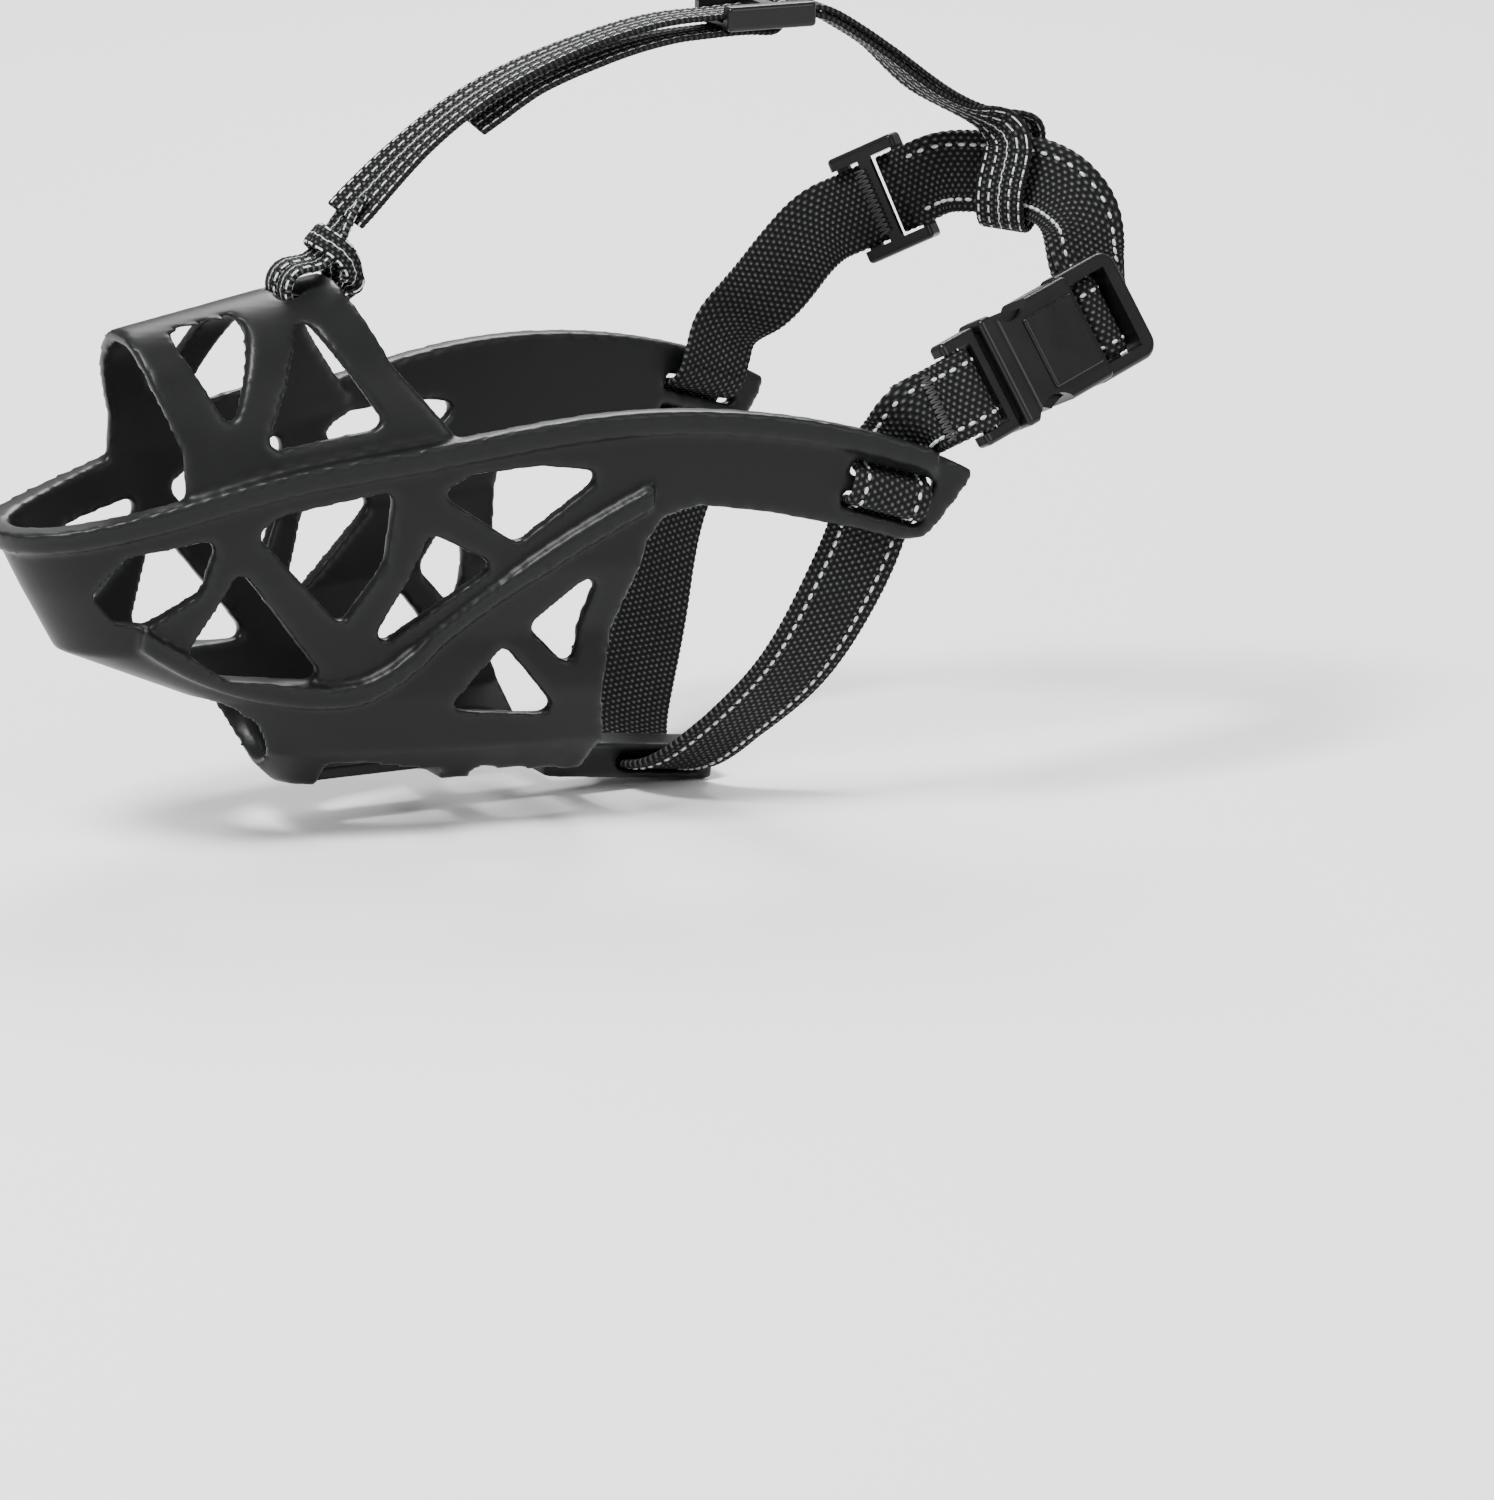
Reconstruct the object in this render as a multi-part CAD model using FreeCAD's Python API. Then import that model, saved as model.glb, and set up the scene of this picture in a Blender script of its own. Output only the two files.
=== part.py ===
import FreeCAD, Part
import math
import os

# Basket muzzle: a moulded rubber cage, a webbing neck loop with a side-release buckle,
# a throat strap through a keeper under the chin, and a narrow head strap.
# Frame: the origin is the centre of the opening that the snout enters. The nose points
# to -Y, the neck lies at +Y, +Z is up and +X is the dog's left. Millimetres.

V = FreeCAD.Vector

# Driving dimensions of the cage
cage_length = 117.0          # front of the rim to the snout opening
arm_reach = 51.0             # snout opening to the centre of an ear
ear_spacing = 91.0           # between the outer faces of the two ears
wall = 2.6                   # moulded wall
nose_round = 16.5            # half-width that the rounded front gains
nose_run = 12.0              # length over which it gains it
rim_depth = 4.0              # height of the thick upper rim
rim_stand = 1.2              # how far the rim stands out of the wall
rim_crest = 0.5              # how far the rim rises over the wall's edge
rib_width = 4.6              # jaw rib on the side wall
rib_stand = 1.9
chin_depth = 52.0            # snout centre line to the flat bottom
crown_front = 40.0           # height of the bridge at its front edge
crown_rise = 7.0             # what it gains by its rear edge
window_round = 1.7           # corner radius of the windows
drink_radius = 10.5          # hole in the chin for drinking

# Webbing and what holds it
strap_width = 16.0           # neck and throat webbing
strap_thick = 1.5
head_width = 10.0            # head webbing
head_thick = 1.2
side_clear = 0.6             # each side of a strap in a slot
slot_height = 3.4            # ear slots and keeper
ear_bar = 3.0                # bar between the two slots of an ear
ear_tilt = 17.7              # fall of the slots towards the neck, degrees
keeper_centre = 21.0         # throat strap behind the snout opening
keeper_run = 11.0            # keeper across the chin
keeper_fall = 7.0            # slope of the keeper towards the neck, degrees
keeper_lip = 2.6             # material behind the keeper's window
keeper_gap = 1.2             # before and behind the strap in the keeper
keeper_depth = 4.9           # keeper below the chin
hitch_bar = 7.0              # bar at the back of the crown that the head strap hitches to
thread_size = 0.5            # reflective stitching
thread_clear = 0.15          # under the stitching where the strap is straight
bend_clear = 0.4             # more of it where the strap bends and twists
tack_height = 0.6            # bar-tack stitching
tack_run = 3.2               # length of a bar tack along the strap

# Side-release buckle, along a (0 at the strap bar of the prong half), across b, out c
buckle_side = 2.4            # material beside the strap
buckle_width = strap_width + 2.0 * (side_clear + buckle_side)
buckle_height = 9.0
buckle_length = 45.0
socket_start = 8.0           # where the socket's mouth begins
socket_wall = 1.5
prong_gap = 0.2
body_end = 31.5              # end of the socket's thick body
mouth_run = 4.2              # flange round the mouth
mouth_stand = 0.5            # how far the flange and the end loop stand out sideways
panel_stand = 0.7            # raised panel on each face
panel_start, panel_end = 17.0, 30.0
panel_half = buckle_width / 2.0 - 3.5
loop_thick = 5.6             # end loop that the strap turns in
loop_corner = 3.6            # its rounded end corners
window_start, window_end = 31.4, 41.4
grip_place, grip_radius, grip_depth = 15.6, 5.4, 2.6
buckle_edge = 1.2            # rounded edges of the moulding

# Strap slides
neck_slide_length = 15.0
head_slide_length = 19.0
slide_bar = 2.6
slide_rail = 2.6
slide_clear = 0.35
slide_wall = 1.5             # thickness of the slide over and under the strap
slide_edge = 0.9

# The outlines below were drawn for this cage, and follow its driving dimensions.
stretch = cage_length / 117.0
arm_stretch = arm_reach / 51.0
spread = ear_spacing / 91.0
depth = chin_depth / 52.0
half_spacing = ear_spacing / 2.0
flare = (half_spacing - nose_round) / (cage_length + arm_reach)
ear_height = 3.5
flare_angle = math.atan(flare)
far_back = arm_reach + 24.0
slot_length = strap_width + 2.0 * side_clear
ear_grow = (slot_length - 17.2) / 2.0
slot_centre = (ear_bar + slot_height) / 2.0


def side(y, z):
    """A point of the side view: Y follows the cage or the arm, Z the chin's depth."""
    y = y * (stretch if y < 0 else arm_stretch)
    return V(0, y, z * (depth if z < -8.0 else 1.0))


def half_width(distance):
    """Half-width of the cage at a distance behind its rounded front."""
    bow = math.sqrt(1.0 - math.exp(-distance / nose_run))
    return nose_round * bow + flare * distance


# Levels of the cage body: height, front of the level, and share of the half-width.
LEVELS = [(30.0, -130.5, 1.0), (-8.0, -110.8, 1.0), (-21.0, -104.0, 0.88),
          (-33.0, -77.0, 1.05), (-44.0, -67.5, 0.95), (-52.0, -59.5, 0.62)]


def on_keeper(x, y, z):
    """A point given from the bottom of the chin, on the sloping keeper."""
    fall = math.radians(keeper_fall)
    return V(x, y * math.cos(fall) + z * math.sin(fall),
             -chin_depth - y * math.sin(fall) + z * math.cos(fall))


def cage_body(inset):
    """The cage as a full solid, moved inwards by inset, and up at the bottom."""
    wires = []
    lift = 0.45 * max(inset, 0.0)
    for number, (height, front, share) in enumerate(LEVELS):
        middle = side(front, height)
        z = middle.z + lift
        if number == 0:
            z = middle.z + 3.0 + 2.0 * max(inset, 0.0)
        if number == len(LEVELS) - 1:
            z = middle.z + max(inset, 0.0)
        nose = middle.y + 1.15 * inset
        run = far_back - nose
        points = []
        for step in range(-9, 10):
            along = run * (step / 9.0) ** 2
            reach = share * half_width(along) - inset * min(1.0, abs(step) / 2.0)
            points.append(V(math.copysign(reach, step) if step else 0.0, nose + along, z))
        curve = Part.BSplineCurve()
        curve.interpolate(points)
        wires.append(Part.Wire([curve.toShape(), Part.makeLine(points[-1], points[0])]))
    return Part.makeLoft(wires, True, True)


def rounded(points, radius):
    """A closed outline with an arc of the radius at every corner."""
    edges = []
    ends = []
    count = len(points)
    for index in range(count):
        before, corner, after = points[index - 1], points[index], points[(index + 1) % count]
        a = (before - corner).normalize()
        b = (after - corner).normalize()
        half = a.getAngle(b) / 2.0
        limit = 0.45 * min((before - corner).Length, (after - corner).Length)
        cut = min(radius / math.tan(half), limit)
        size = cut * math.tan(half)
        middle = corner + (a + b).normalize() * (size / math.sin(half) - size)
        ends.append((corner + a * cut, middle, corner + b * cut))
    for index in range(count):
        start, middle, end = ends[index]
        edges.append(Part.Arc(start, middle, end).toShape())
        edges.append(Part.makeLine(end, ends[(index + 1) % count][0]))
    return Part.Wire(edges)


def across(wire):
    """The outline in the side view as a prism through the whole width."""
    face = Part.Face(wire)
    face.translate(V(-80, 0, 0))
    return face.extrude(V(160, 0, 0))


def outline(pairs, radius):
    return across(rounded([side(y, z) for y, z in pairs], radius))


def band(pairs, low, high):
    """A prism between two copies of a smooth line, moved by low and high in Z."""
    curves = []
    for offset in (low, high):
        curve = Part.BSplineCurve()
        curve.interpolate([side(y, z) + V(0, 0, offset) for y, z in pairs])
        curves.append(curve)
    lower, upper = curves
    first = Part.makeLine(lower.StartPoint, upper.StartPoint)
    last = Part.makeLine(lower.EndPoint, upper.EndPoint)
    return across(Part.Wire(Part.__sortEdges__([lower.toShape(), last, upper.toShape(), first])))


def frame(origin, a, b):
    """A rigid placement with local X along a and local Y as near b as can be."""
    a = V(a).normalize()
    c = a.cross(b).normalize()
    b = c.cross(a)
    return FreeCAD.Placement(FreeCAD.Matrix(a.x, b.x, c.x, origin.x, a.y, b.y, c.y, origin.y,
                                            a.z, b.z, c.z, origin.z, 0, 0, 0, 1))


def put(shape, placement):
    placed = shape.copy()
    placed.Placement = placement.multiply(placed.Placement)
    return placed


def block(x0, x1, y0, y1, z0, z1):
    return Part.makeBox(x1 - x0, y1 - y0, z1 - z0, V(x0, y0, z0))


def mirrored(shape):
    return shape.mirror(V(0, 0, 0), V(1, 0, 0))


# Ear frames: local X runs along the slots to the neck, Y is up, Z is inwards or outwards.
ear_middle = V(half_spacing - wall / 2.0, arm_reach, ear_height)
ear_along = V(math.sin(flare_angle) * math.cos(math.radians(ear_tilt)),
              math.cos(flare_angle) * math.cos(math.radians(ear_tilt)),
              -math.sin(math.radians(ear_tilt)))
ear_out = V(math.cos(flare_angle), -math.sin(flare_angle), 0)
ear_up = ear_out.cross(ear_along)
if ear_up.z < 0:
    ear_up = ear_up * -1.0


def ear_point(along, up, out=0.0):
    return ear_middle + ear_along * along + ear_up * up + ear_out * out


def ear_side(along, up):
    """A point of the ear's outline in the side view, which follows the slots' length."""
    point = ear_point(along + (ear_grow if along > 0 else 0.0), up)
    return V(0, point.y, point.z)


RIM = [(-121, 3.2), (-85, 10), (-66, 14.5), (-40, 18), (1, 22.5), (14, 22), (38, 18.2), (60, 11)]
RIB = [(-93, -17), (-76, -27), (-63, -30.5), (-51, -30.6), (-36.4, -21), (-24, -10.6),
       (-10.4, -1.7), (4, 6)]
WINDOWS = [
    [(-102, -8), (-96, -0.5), (-79, 2.5), (-82, -8), (-91, -14.5), (-97, -14)],
    [(-75, -3.5), (-83.5, -21), (-76, -26.5), (-56.5, -28)],
    [(-72, 3), (-67, 6.4), (-45.4, 10), (-47, -4), (-54.4, -17)],
    [(-38.5, 1.2), (-25.4, -6), (-49.5, -24)],
    [(-37, 9), (-30, 12.4), (-17, 13.1), (-4, 11.2), (-21.5, -2)],
    [(-4.4, -7), (-17.4, -19.4), (-9, -29)],
    [(-22, -23), (-10.4, -38), (-33.5, -35.5)],
]
BRIDGE_WINDOWS = [
    [(-83, 39.6), (-67, 42.2), (-75.5, 22)],
    [(-57.5, 42.5), (-70, 18.5), (-46, 22)],
]
BOTTOM_WINDOWS = [(4.0, 15.0, -53.0, -30.0), (4.0, 16.0, -24.0, -6.0)]


def crown(y):
    return crown_front + crown_rise * (y / stretch + 90.0) / 43.0


def arch_body(inset):
    """The bridge as a full solid: half ellipses that widen and rise to the back."""
    wires = []
    base = 8.0
    for station in (-94.0, -80.0, -66.0, -50.0, -26.0):
        y = station * stretch
        reach = half_width(y + cage_length + 2.0) - 0.4 - inset
        height = crown(y) - base - inset
        points = []
        for step in range(9):
            angle = math.pi * step / 8.0
            points.append(V(reach * math.cos(angle), y, base + height * math.sin(angle)))
        curve = Part.BSplineCurve()
        curve.interpolate(points)
        left = V(points[-1].x, y, base - 14.0)
        right = V(points[0].x, y, base - 14.0)
        wires.append(Part.Wire([curve.toShape(), Part.makeLine(points[-1], left),
                                Part.makeLine(left, right), Part.makeLine(right, points[0])]))
    return Part.makeLoft(wires, True, True)


def make_cage():
    rim_points = [side(y, z) for y, z in RIM] + [ear_side(15.1, 8.5)]
    top = Part.BSplineCurve()
    top.interpolate(rim_points)
    ear = [ear_side(15.1, 8.5), ear_side(15.3, 7.4), ear_side(14.2, 3.0), ear_side(12.4, -2.2),
           ear_side(11.4, -4.9), ear_side(9.9, -6.9), ear_side(7.6, -7.9), ear_side(5.0, -8.3),
           ear_side(-3.0, -8.3)]
    under = [side(28, 1), side(14, 3.4), side(7, 1.5), side(4, -3), side(-1, -22),
             side(-3, -33), side(-1, -44), side(-1, -60), side(-135, -60), side(-135, 3.2)]
    corners = ear + under + [rim_points[0]]
    edges = [top.toShape()]
    for first, second in zip(corners, corners[1:]):
        edges.append(Part.makeLine(first, second))
    profile = across(Part.Wire(edges))
    body = cage_body(0.0).common(profile)
    thick_rim = cage_body(-rim_stand).common(band(RIM, -rim_depth, rim_crest))
    rib = cage_body(-rib_stand).common(band(RIB, -rib_width / 2.0, rib_width / 2.0))
    shell = body.fuse([thick_rim, rib]).cut(cage_body(wall))
    for window in WINDOWS:
        shell = shell.cut(outline(window, window_round))
    bridge_side = [(-90.5, 70), (-90.5, 38), (-89, 31), (-85, 19), (-85, 6), (-30, 15),
                   (-34, 21), (-43, 33), (-47, 45), (-47, 70)]
    bridge = arch_body(0.0).cut(arch_body(wall)).common(outline(bridge_side, 1.0))
    for window in BRIDGE_WINDOWS:
        bridge = bridge.cut(outline(window, window_round))
    slot_back = -47.0 * stretch - hitch_bar
    slot_half = head_width / 2.0 + side_clear
    bridge = bridge.cut(block(-slot_half, slot_half, slot_back - 4.6, slot_back, 30, 70))
    window_low = keeper_centre - strap_width / 2.0 - keeper_gap
    window_high = keeper_centre + strap_width / 2.0 + keeper_gap
    bottom = -chin_depth
    keeper_x = keeper_run / 2.0
    keeper = block(-keeper_x, keeper_x, -8, window_high + keeper_lip,
                   bottom - keeper_depth, bottom + 2.2)
    slot_low = bottom - 1.5 - slot_height / 2.0
    keeper = keeper.cut(block(-20, 20, window_low, window_high, slot_low, slot_low + slot_height))
    keeper = keeper.cut(block(-20, 20, -30, -3.5, bottom - 20, bottom))
    keeper.rotate(V(0, 0, bottom), V(1, 0, 0), -keeper_fall)
    cage = shell.fuse([bridge, keeper])
    for x0, x1, y0, y1 in BOTTOM_WINDOWS:
        corners = [V(x0, y0 * stretch, 0), V(x1, y0 * stretch, 0), V(x1, y1 * stretch, 0),
                   V(x0, y1 * stretch, 0)]
        face = Part.Face(rounded(corners, window_round))
        face.translate(V(0, 0, bottom - 2))
        prism = face.extrude(V(0, 0, wall + 5))
        cage = cage.cut([prism, mirrored(prism)])
    drink_middle = side(-71.5, -40.5)
    cage = cage.cut(Part.makeCylinder(drink_radius, 16, drink_middle + V(0, 6, 5.6),
                                      V(0, -0.736, -0.678)))
    ear_frame = frame(ear_middle, ear_along, ear_up)
    slots = []
    for row in (slot_centre, -slot_centre):
        half = slot_length / 2.0
        cut = block(-half, half, row - slot_height / 2.0, row + slot_height / 2.0, -8, 8)
        slots.append(put(cut, ear_frame))
    cage = cage.cut(slots + [mirrored(slot) for slot in slots])
    return cage.removeSplitter()


# Webbing

def strip(route, width, thick, shift=0.0, lift=0.0):
    """A flat band along the route's (point, width direction) pairs.

    shift moves it along its width and lift along its face.
    """
    wires = []
    count = len(route)
    for index, (point, sideways) in enumerate(route):
        before = route[max(index - 1, 0)][0]
        after = route[min(index + 1, count - 1)][0]
        along = (after - before).normalize()
        across_it = V(sideways)
        across_it = (across_it - along * across_it.dot(along)).normalize()
        face = along.cross(across_it)
        middle = point + across_it * shift + face * lift
        half = across_it * (width / 2.0)
        up = face * (thick / 2.0)
        corners = [middle - half - up, middle + half - up, middle + half + up,
                   middle - half + up]
        wires.append(Part.makePolygon(corners + corners[:1]))
    return Part.makeLoft(wires, True, True)


def ribbon(path, thick):
    """The closed outline of a bent band: the path's points, half the thickness each side."""
    sides = ([], [])
    for index, point in enumerate(path):
        before = path[max(index - 1, 0)]
        after = path[min(index + 1, len(path) - 1)]
        first = (point - before) if index else (after - point)
        second = (after - point) if index < len(path) - 1 else first
        n1 = V(-first.y, first.x, 0).normalize()
        n2 = V(-second.y, second.x, 0).normalize()
        joint = (n1 + n2).normalize()
        reach = thick / 2.0 / joint.dot(n1)
        sides[0].append(point + joint * reach)
        sides[1].append(point - joint * reach)
    corners = sides[0] + sides[1][::-1]
    return Part.Face(Part.makePolygon(corners + corners[:1]))


def stitch_rows(route, width, lift):
    """Two rows of reflective thread on the face of a strap."""
    rows = []
    for shift in (-0.3 * width, 0.3 * width):
        rows.append(strip(route, 2.0 * thread_size, thread_size, shift, lift))
    return Part.makeCompound(rows)


inside = -(wall / 2.0 + strap_thick / 2.0 + 2.4)
outside = wall / 2.0 + strap_thick / 2.0 + 1.2
thread_end = 8.0
strap_start = 11.5


def ear_thread():
    """The webbing through an ear: in at the top, over the bar outside, back in below."""
    low = slot_centre
    turn = wall / 2.0 + 0.35
    path = [(inside, thread_end), (inside, low + 2.0), (-turn, low), (turn, low),
            (outside, low - 1.8), (outside, 1.8 - low), (turn, -low), (-turn, -low),
            (inside, -low - 2.0), (inside, -thread_end)]
    face = ribbon([V(out, up, 0) for out, up in path], strap_thick)
    band_solid = face.extrude(V(0, 0, strap_width))
    band_solid.translate(V(0, 0, -strap_width / 2.0))
    return put(band_solid, frame(ear_middle, ear_out, ear_up))


def throat_route():
    flat = keeper_run / 2.0 + 1.5
    start = ear_point(0.0, -thread_end, inside)
    chin = on_keeper(0, 1, 0) - on_keeper(0, 0, 0)
    half = [
        (start, ear_along),
        (start + V(-1.0 * spread, -5.5, -12.5), V(0.14, 0.97, -0.2)),
        (V(32 * spread, 36.5, -33 * depth), V(0.08, 0.99, -0.1)),
        (V(22 * spread, 28, -46 * depth), V(0.03, 1, 0)),
        (on_keeper(13 * spread, keeper_centre + 1.5, 0.9), chin),
        (on_keeper(flat, keeper_centre, -1.5), chin),
    ]
    other = [(V(-p.x, p.y, p.z), V(-d.x, d.y, d.z)) for p, d in reversed(half)]
    return half + other


def at_loop(x, y, z):
    """A point of the neck loop, placed from the ears' centre line."""
    return V(x * spread, arm_reach + y, ear_height + z)


buckle_at = at_loop(43.5, 17.0, 17.5)
buckle_axis = V(-0.256, 0.926, 0.279).normalize()
buckle_across = V(-0.318, -0.353, 0.88)
buckle_frame_at = frame(buckle_at, buckle_axis, buckle_across)
strap_down = buckle_frame_at.Rotation.multVec(V(0, -1, 0))
buckle_in = buckle_frame_at.Rotation.multVec(V(0, 0, -1))


def on_buckle(along, inwards):
    return buckle_at + buckle_axis * along + buckle_in * inwards


def mirror_point(point):
    return V(-point.x, point.y, point.z)


ear_start = ear_point(0.0, strap_start, inside)
male_bar = 1.5
LEFT_ROUTE = [
    (ear_start, ear_along),
    (ear_start + ear_up * 3.0, ear_along),
    (on_buckle(-7.5, 3.0), V(0.26, 0.6, -0.75)),
    (on_buckle(-4.5, 1.7), strap_down),
    (on_buckle(-1.0, 0.6), strap_down),
]
socket_bar = 36.7
socket_bar_width = 2.4
bar_top = -0.4
RIGHT_ROUTE = [
    (mirror_point(ear_start), V(-ear_along.x, ear_along.y, ear_along.z)),
    (mirror_point(ear_start + ear_up * 3.0), V(-ear_along.x, ear_along.y, ear_along.z)),
    (at_loop(-36.0, 9.5, 21.0), V(0.2, 0.8, -0.56)),
    (at_loop(-29.0, 16.2, 32.5), V(0.5, 0.45, -0.7)),
    (at_loop(-24.0, 21.0, 39.0), V(0.38, 0.28, -0.86)),
    (at_loop(-22.0, 23.0, 40.4), V(0.38, 0.28, -0.86)),
    (at_loop(-10.0, 35.0, 48.8), V(0.38, 0.28, -0.86)),
    (at_loop(-8.0, 37.0, 50.2), V(0.38, 0.28, -0.86)),
    (at_loop(-2.0, 43.0, 51.4), V(0.1, 0.0, -0.99)),
    (at_loop(3.0, 48.0, 51.4), V(0.0, -0.1, -0.99)),
    (at_loop(8.0, 52.0, 50.4), V(-0.05, -0.3, -0.95)),
    (at_loop(13.5, 55.0, 47.2), V(-0.1, -0.65, -0.75)),
    (at_loop(16.8, 55.8, 42.5), V(0, -0.92, -0.35)),
    (at_loop(19.8, 55.2, 36.0), V(-0.15, -0.85, 0.45)),
]
layer_gap = strap_thick + strap_width / 16.0


def shifted(route, lift):
    """The same route, one layer further along the band's face."""
    moved = []
    for index, (point, sideways) in enumerate(route):
        before = route[max(index - 1, 0)][0]
        after = route[min(index + 1, len(route) - 1)][0]
        along = (after - before).normalize()
        face = along.cross(V(sideways)).normalize()
        moved.append((point + face * lift, sideways))
    return moved


def make_turn():
    """The strap round the recessed bar of the socket: two layers joined over the bar."""
    leg = socket_bar_width / 2.0 + strap_thick / 2.0 + side_clear
    over = bar_top + strap_thick / 2.0 + slide_clear
    low = -buckle_height / 2.0 - 1.0
    path = [(-leg, low), (-leg, over), (leg, over), (leg, low)]
    face = ribbon([V(a, c, 0) for a, c in path], strap_thick)
    solid = face.extrude(V(0, 0, strap_width))
    solid.translate(V(0, 0, -strap_width / 2.0))
    return put(solid, frame(on_buckle(socket_bar, 0), buckle_axis, buckle_in * -1.0))


# Buckle halves, in their own frame, then placed

def buckle_block(a0, a1, half, low, high, radius):
    """A block with all its edges rounded."""
    solid = block(a0, a1, -half, half, low, high)
    return solid.makeFillet(radius, solid.Edges)


def end_loop(a0, a1, half, thick, corner):
    """A plate with two large rounded corners at its far end and soft edges."""
    solid = block(a0, a1, -half, half, -thick / 2.0, thick / 2.0)
    ends = [edge for edge in solid.Edges
            if edge.BoundBox.ZLength > 0.5 * thick and edge.BoundBox.XMin > (a0 + a1) / 2.0]
    solid = solid.makeFillet(corner, ends)
    return solid.makeFillet(buckle_edge, solid.Edges)


def make_socket():
    """The socket half: a hollow body, its mouth, side grips, panels and the end loop."""
    half = buckle_width / 2.0
    top = buckle_height / 2.0
    inner = strap_width / 2.0 + side_clear
    cavity_half, cavity_top = half - socket_wall, top - socket_wall
    body = buckle_block(socket_start + 3.0, body_end, half, -top, top, buckle_edge)
    mouth = buckle_block(socket_start, socket_start + mouth_run, half + mouth_stand,
                         -top + 0.3, top - 0.3, 1.0)
    panel = buckle_block(panel_start, panel_end, panel_half, 0.0, top + panel_stand, 0.6)
    loop = end_loop(body_end - 2.5, buckle_length, half + mouth_stand, loop_thick, loop_corner)
    strap_window = block(window_start, window_end, -inner, inner, -8, 8)
    bar = block(socket_bar - socket_bar_width / 2.0, socket_bar + socket_bar_width / 2.0,
                -half + 1.0, half - 1.0, -loop_thick / 2.0, bar_top)
    socket = body.fuse([mouth, panel, loop]).cut(strap_window).fuse(bar)
    socket = socket.cut(block(socket_start - 1, body_end - 2.5, -cavity_half, cavity_half,
                              -cavity_top, cavity_top))
    for sign in (-1, 1):
        grip = V(grip_place, sign * (half + grip_depth), -15)
        socket = socket.cut(Part.makeCylinder(grip_radius, 30, grip, V(0, 0, 1)))
    return put(socket, buckle_frame_at)


prong_root = 10.9
prong_line = buckle_width / 2.0 - 5.0
prong_thick = 4.6
root_radius = 1.1
strap_bar_at = 1.6


def make_buckle_frame():
    """The prong half without its prongs: the strap bar, the base and the centre guide."""
    half = buckle_width / 2.0
    cavity = half - socket_wall - prong_gap
    base = buckle_block(-1.4, socket_start - prong_gap, half, -2.3, 2.3, 1.0)
    root = block(socket_start - 1.5, 9.9, -cavity, cavity, -1.9, 1.9)
    tail = block(-8, 5.2, -strap_width / 2.0 - side_clear, strap_width / 2.0 + side_clear,
                 -8, 8)
    base = base.cut(tail)
    bar = Part.makeCylinder(male_bar, 2 * half - 3.0, V(strap_bar_at, -half + 1.5, 0), V(0, 1, 0))
    guide = block(9.0, 26.0, -1.2, 1.2, -1.4, 1.4)
    seats = []
    for sign in (-1, 1):
        centre = V(prong_root, sign * prong_line, -10)
        seats.append(Part.makeCylinder(root_radius + prong_gap, 20, centre, V(0, 0, 1)))
    return put(base.fuse([bar, root, guide]).cut(seats), buckle_frame_at)


def make_prong(sign):
    """One spring prong: a round root, an arm, a grip that shows at the side, a tip."""
    low = prong_line - root_radius
    half = buckle_width / 2.0
    outer = half - 0.4
    corners = [V(prong_root, low, 0), V(26.0, low, 0), V(26.0, half - 3.6, 0),
               V(23.5, half - 2.1, 0), V(20.6, half - 1.8, 0), V(17.6, outer - 0.8, 0),
               V(15.4, outer, 0), V(13.0, half - 2.0, 0),
               V(13.0, prong_line + root_radius, 0), V(prong_root, prong_line + root_radius, 0)]
    face = Part.Face(Part.makePolygon(corners + corners[:1]))
    arm = face.extrude(V(0, 0, prong_thick))
    root = Part.makeCylinder(root_radius, prong_thick, V(prong_root, prong_line, 0), V(0, 0, 1))
    prong = arm.fuse(root)
    prong.translate(V(0, 0, -prong_thick / 2.0))
    if sign < 0:
        prong = prong.mirror(V(0, 0, 0), V(0, 1, 0))
    return put(prong, buckle_frame_at)


def make_slide(length, width, thick, route, index, share):
    """A strap slide: rails beside the strap, raised end bars, a low bar in the middle."""
    point, sideways = route[index]
    after = route[index + 1][0]
    along = (after - point).normalize()
    centre = point + (after - point) * share
    inner = width / 2.0 + side_clear
    rail = inner + slide_rail
    gap = thick / 2.0 + slide_clear
    low, high = -gap - slide_wall, gap + slide_wall
    plate = buckle_block(-length / 2.0, length / 2.0, rail, low, high, slide_edge)
    plate = plate.cut(block(-length, length, -inner, inner, -gap, gap))
    plate = plate.cut(block(-length / 2.0 + slide_bar, length / 2.0 - slide_bar,
                            -inner, inner, 0, 10))
    plate = plate.cut(block(slide_bar / 2.0, length, -inner, inner, -10, 0))
    plate = plate.cut(block(-length, -slide_bar / 2.0, -inner, inner, -10, 0))
    return put(plate, frame(centre, along, sideways))


def make_tack(route, index, share, width, lift):
    """A block of bar-tack thread across the strap, standing just off its face."""
    point, sideways = route[index]
    after = route[index + 1][0]
    along = (after - point).normalize()
    centre = point + (after - point) * share
    half = 0.42 * width
    if lift > 0:
        low, high = lift, lift + tack_height
    else:
        low, high = lift - tack_height, lift
    slab = block(-tack_run / 2.0, tack_run / 2.0, -half, half, low, high)
    return put(slab, frame(centre, along, sideways))


# Head strap, in the middle plane of the head
crown_bar_back = -47.0 * stretch
crown_top = crown(crown_bar_back)
hitch_low = crown_top - wall - 3.6
hitch_high = crown_top + 1.6
flat_x = V(1, 0, 0)


def at_head(y, z):
    return V(0, crown_bar_back + 47.0 + y, crown_top - 47.0 + z)


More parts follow.
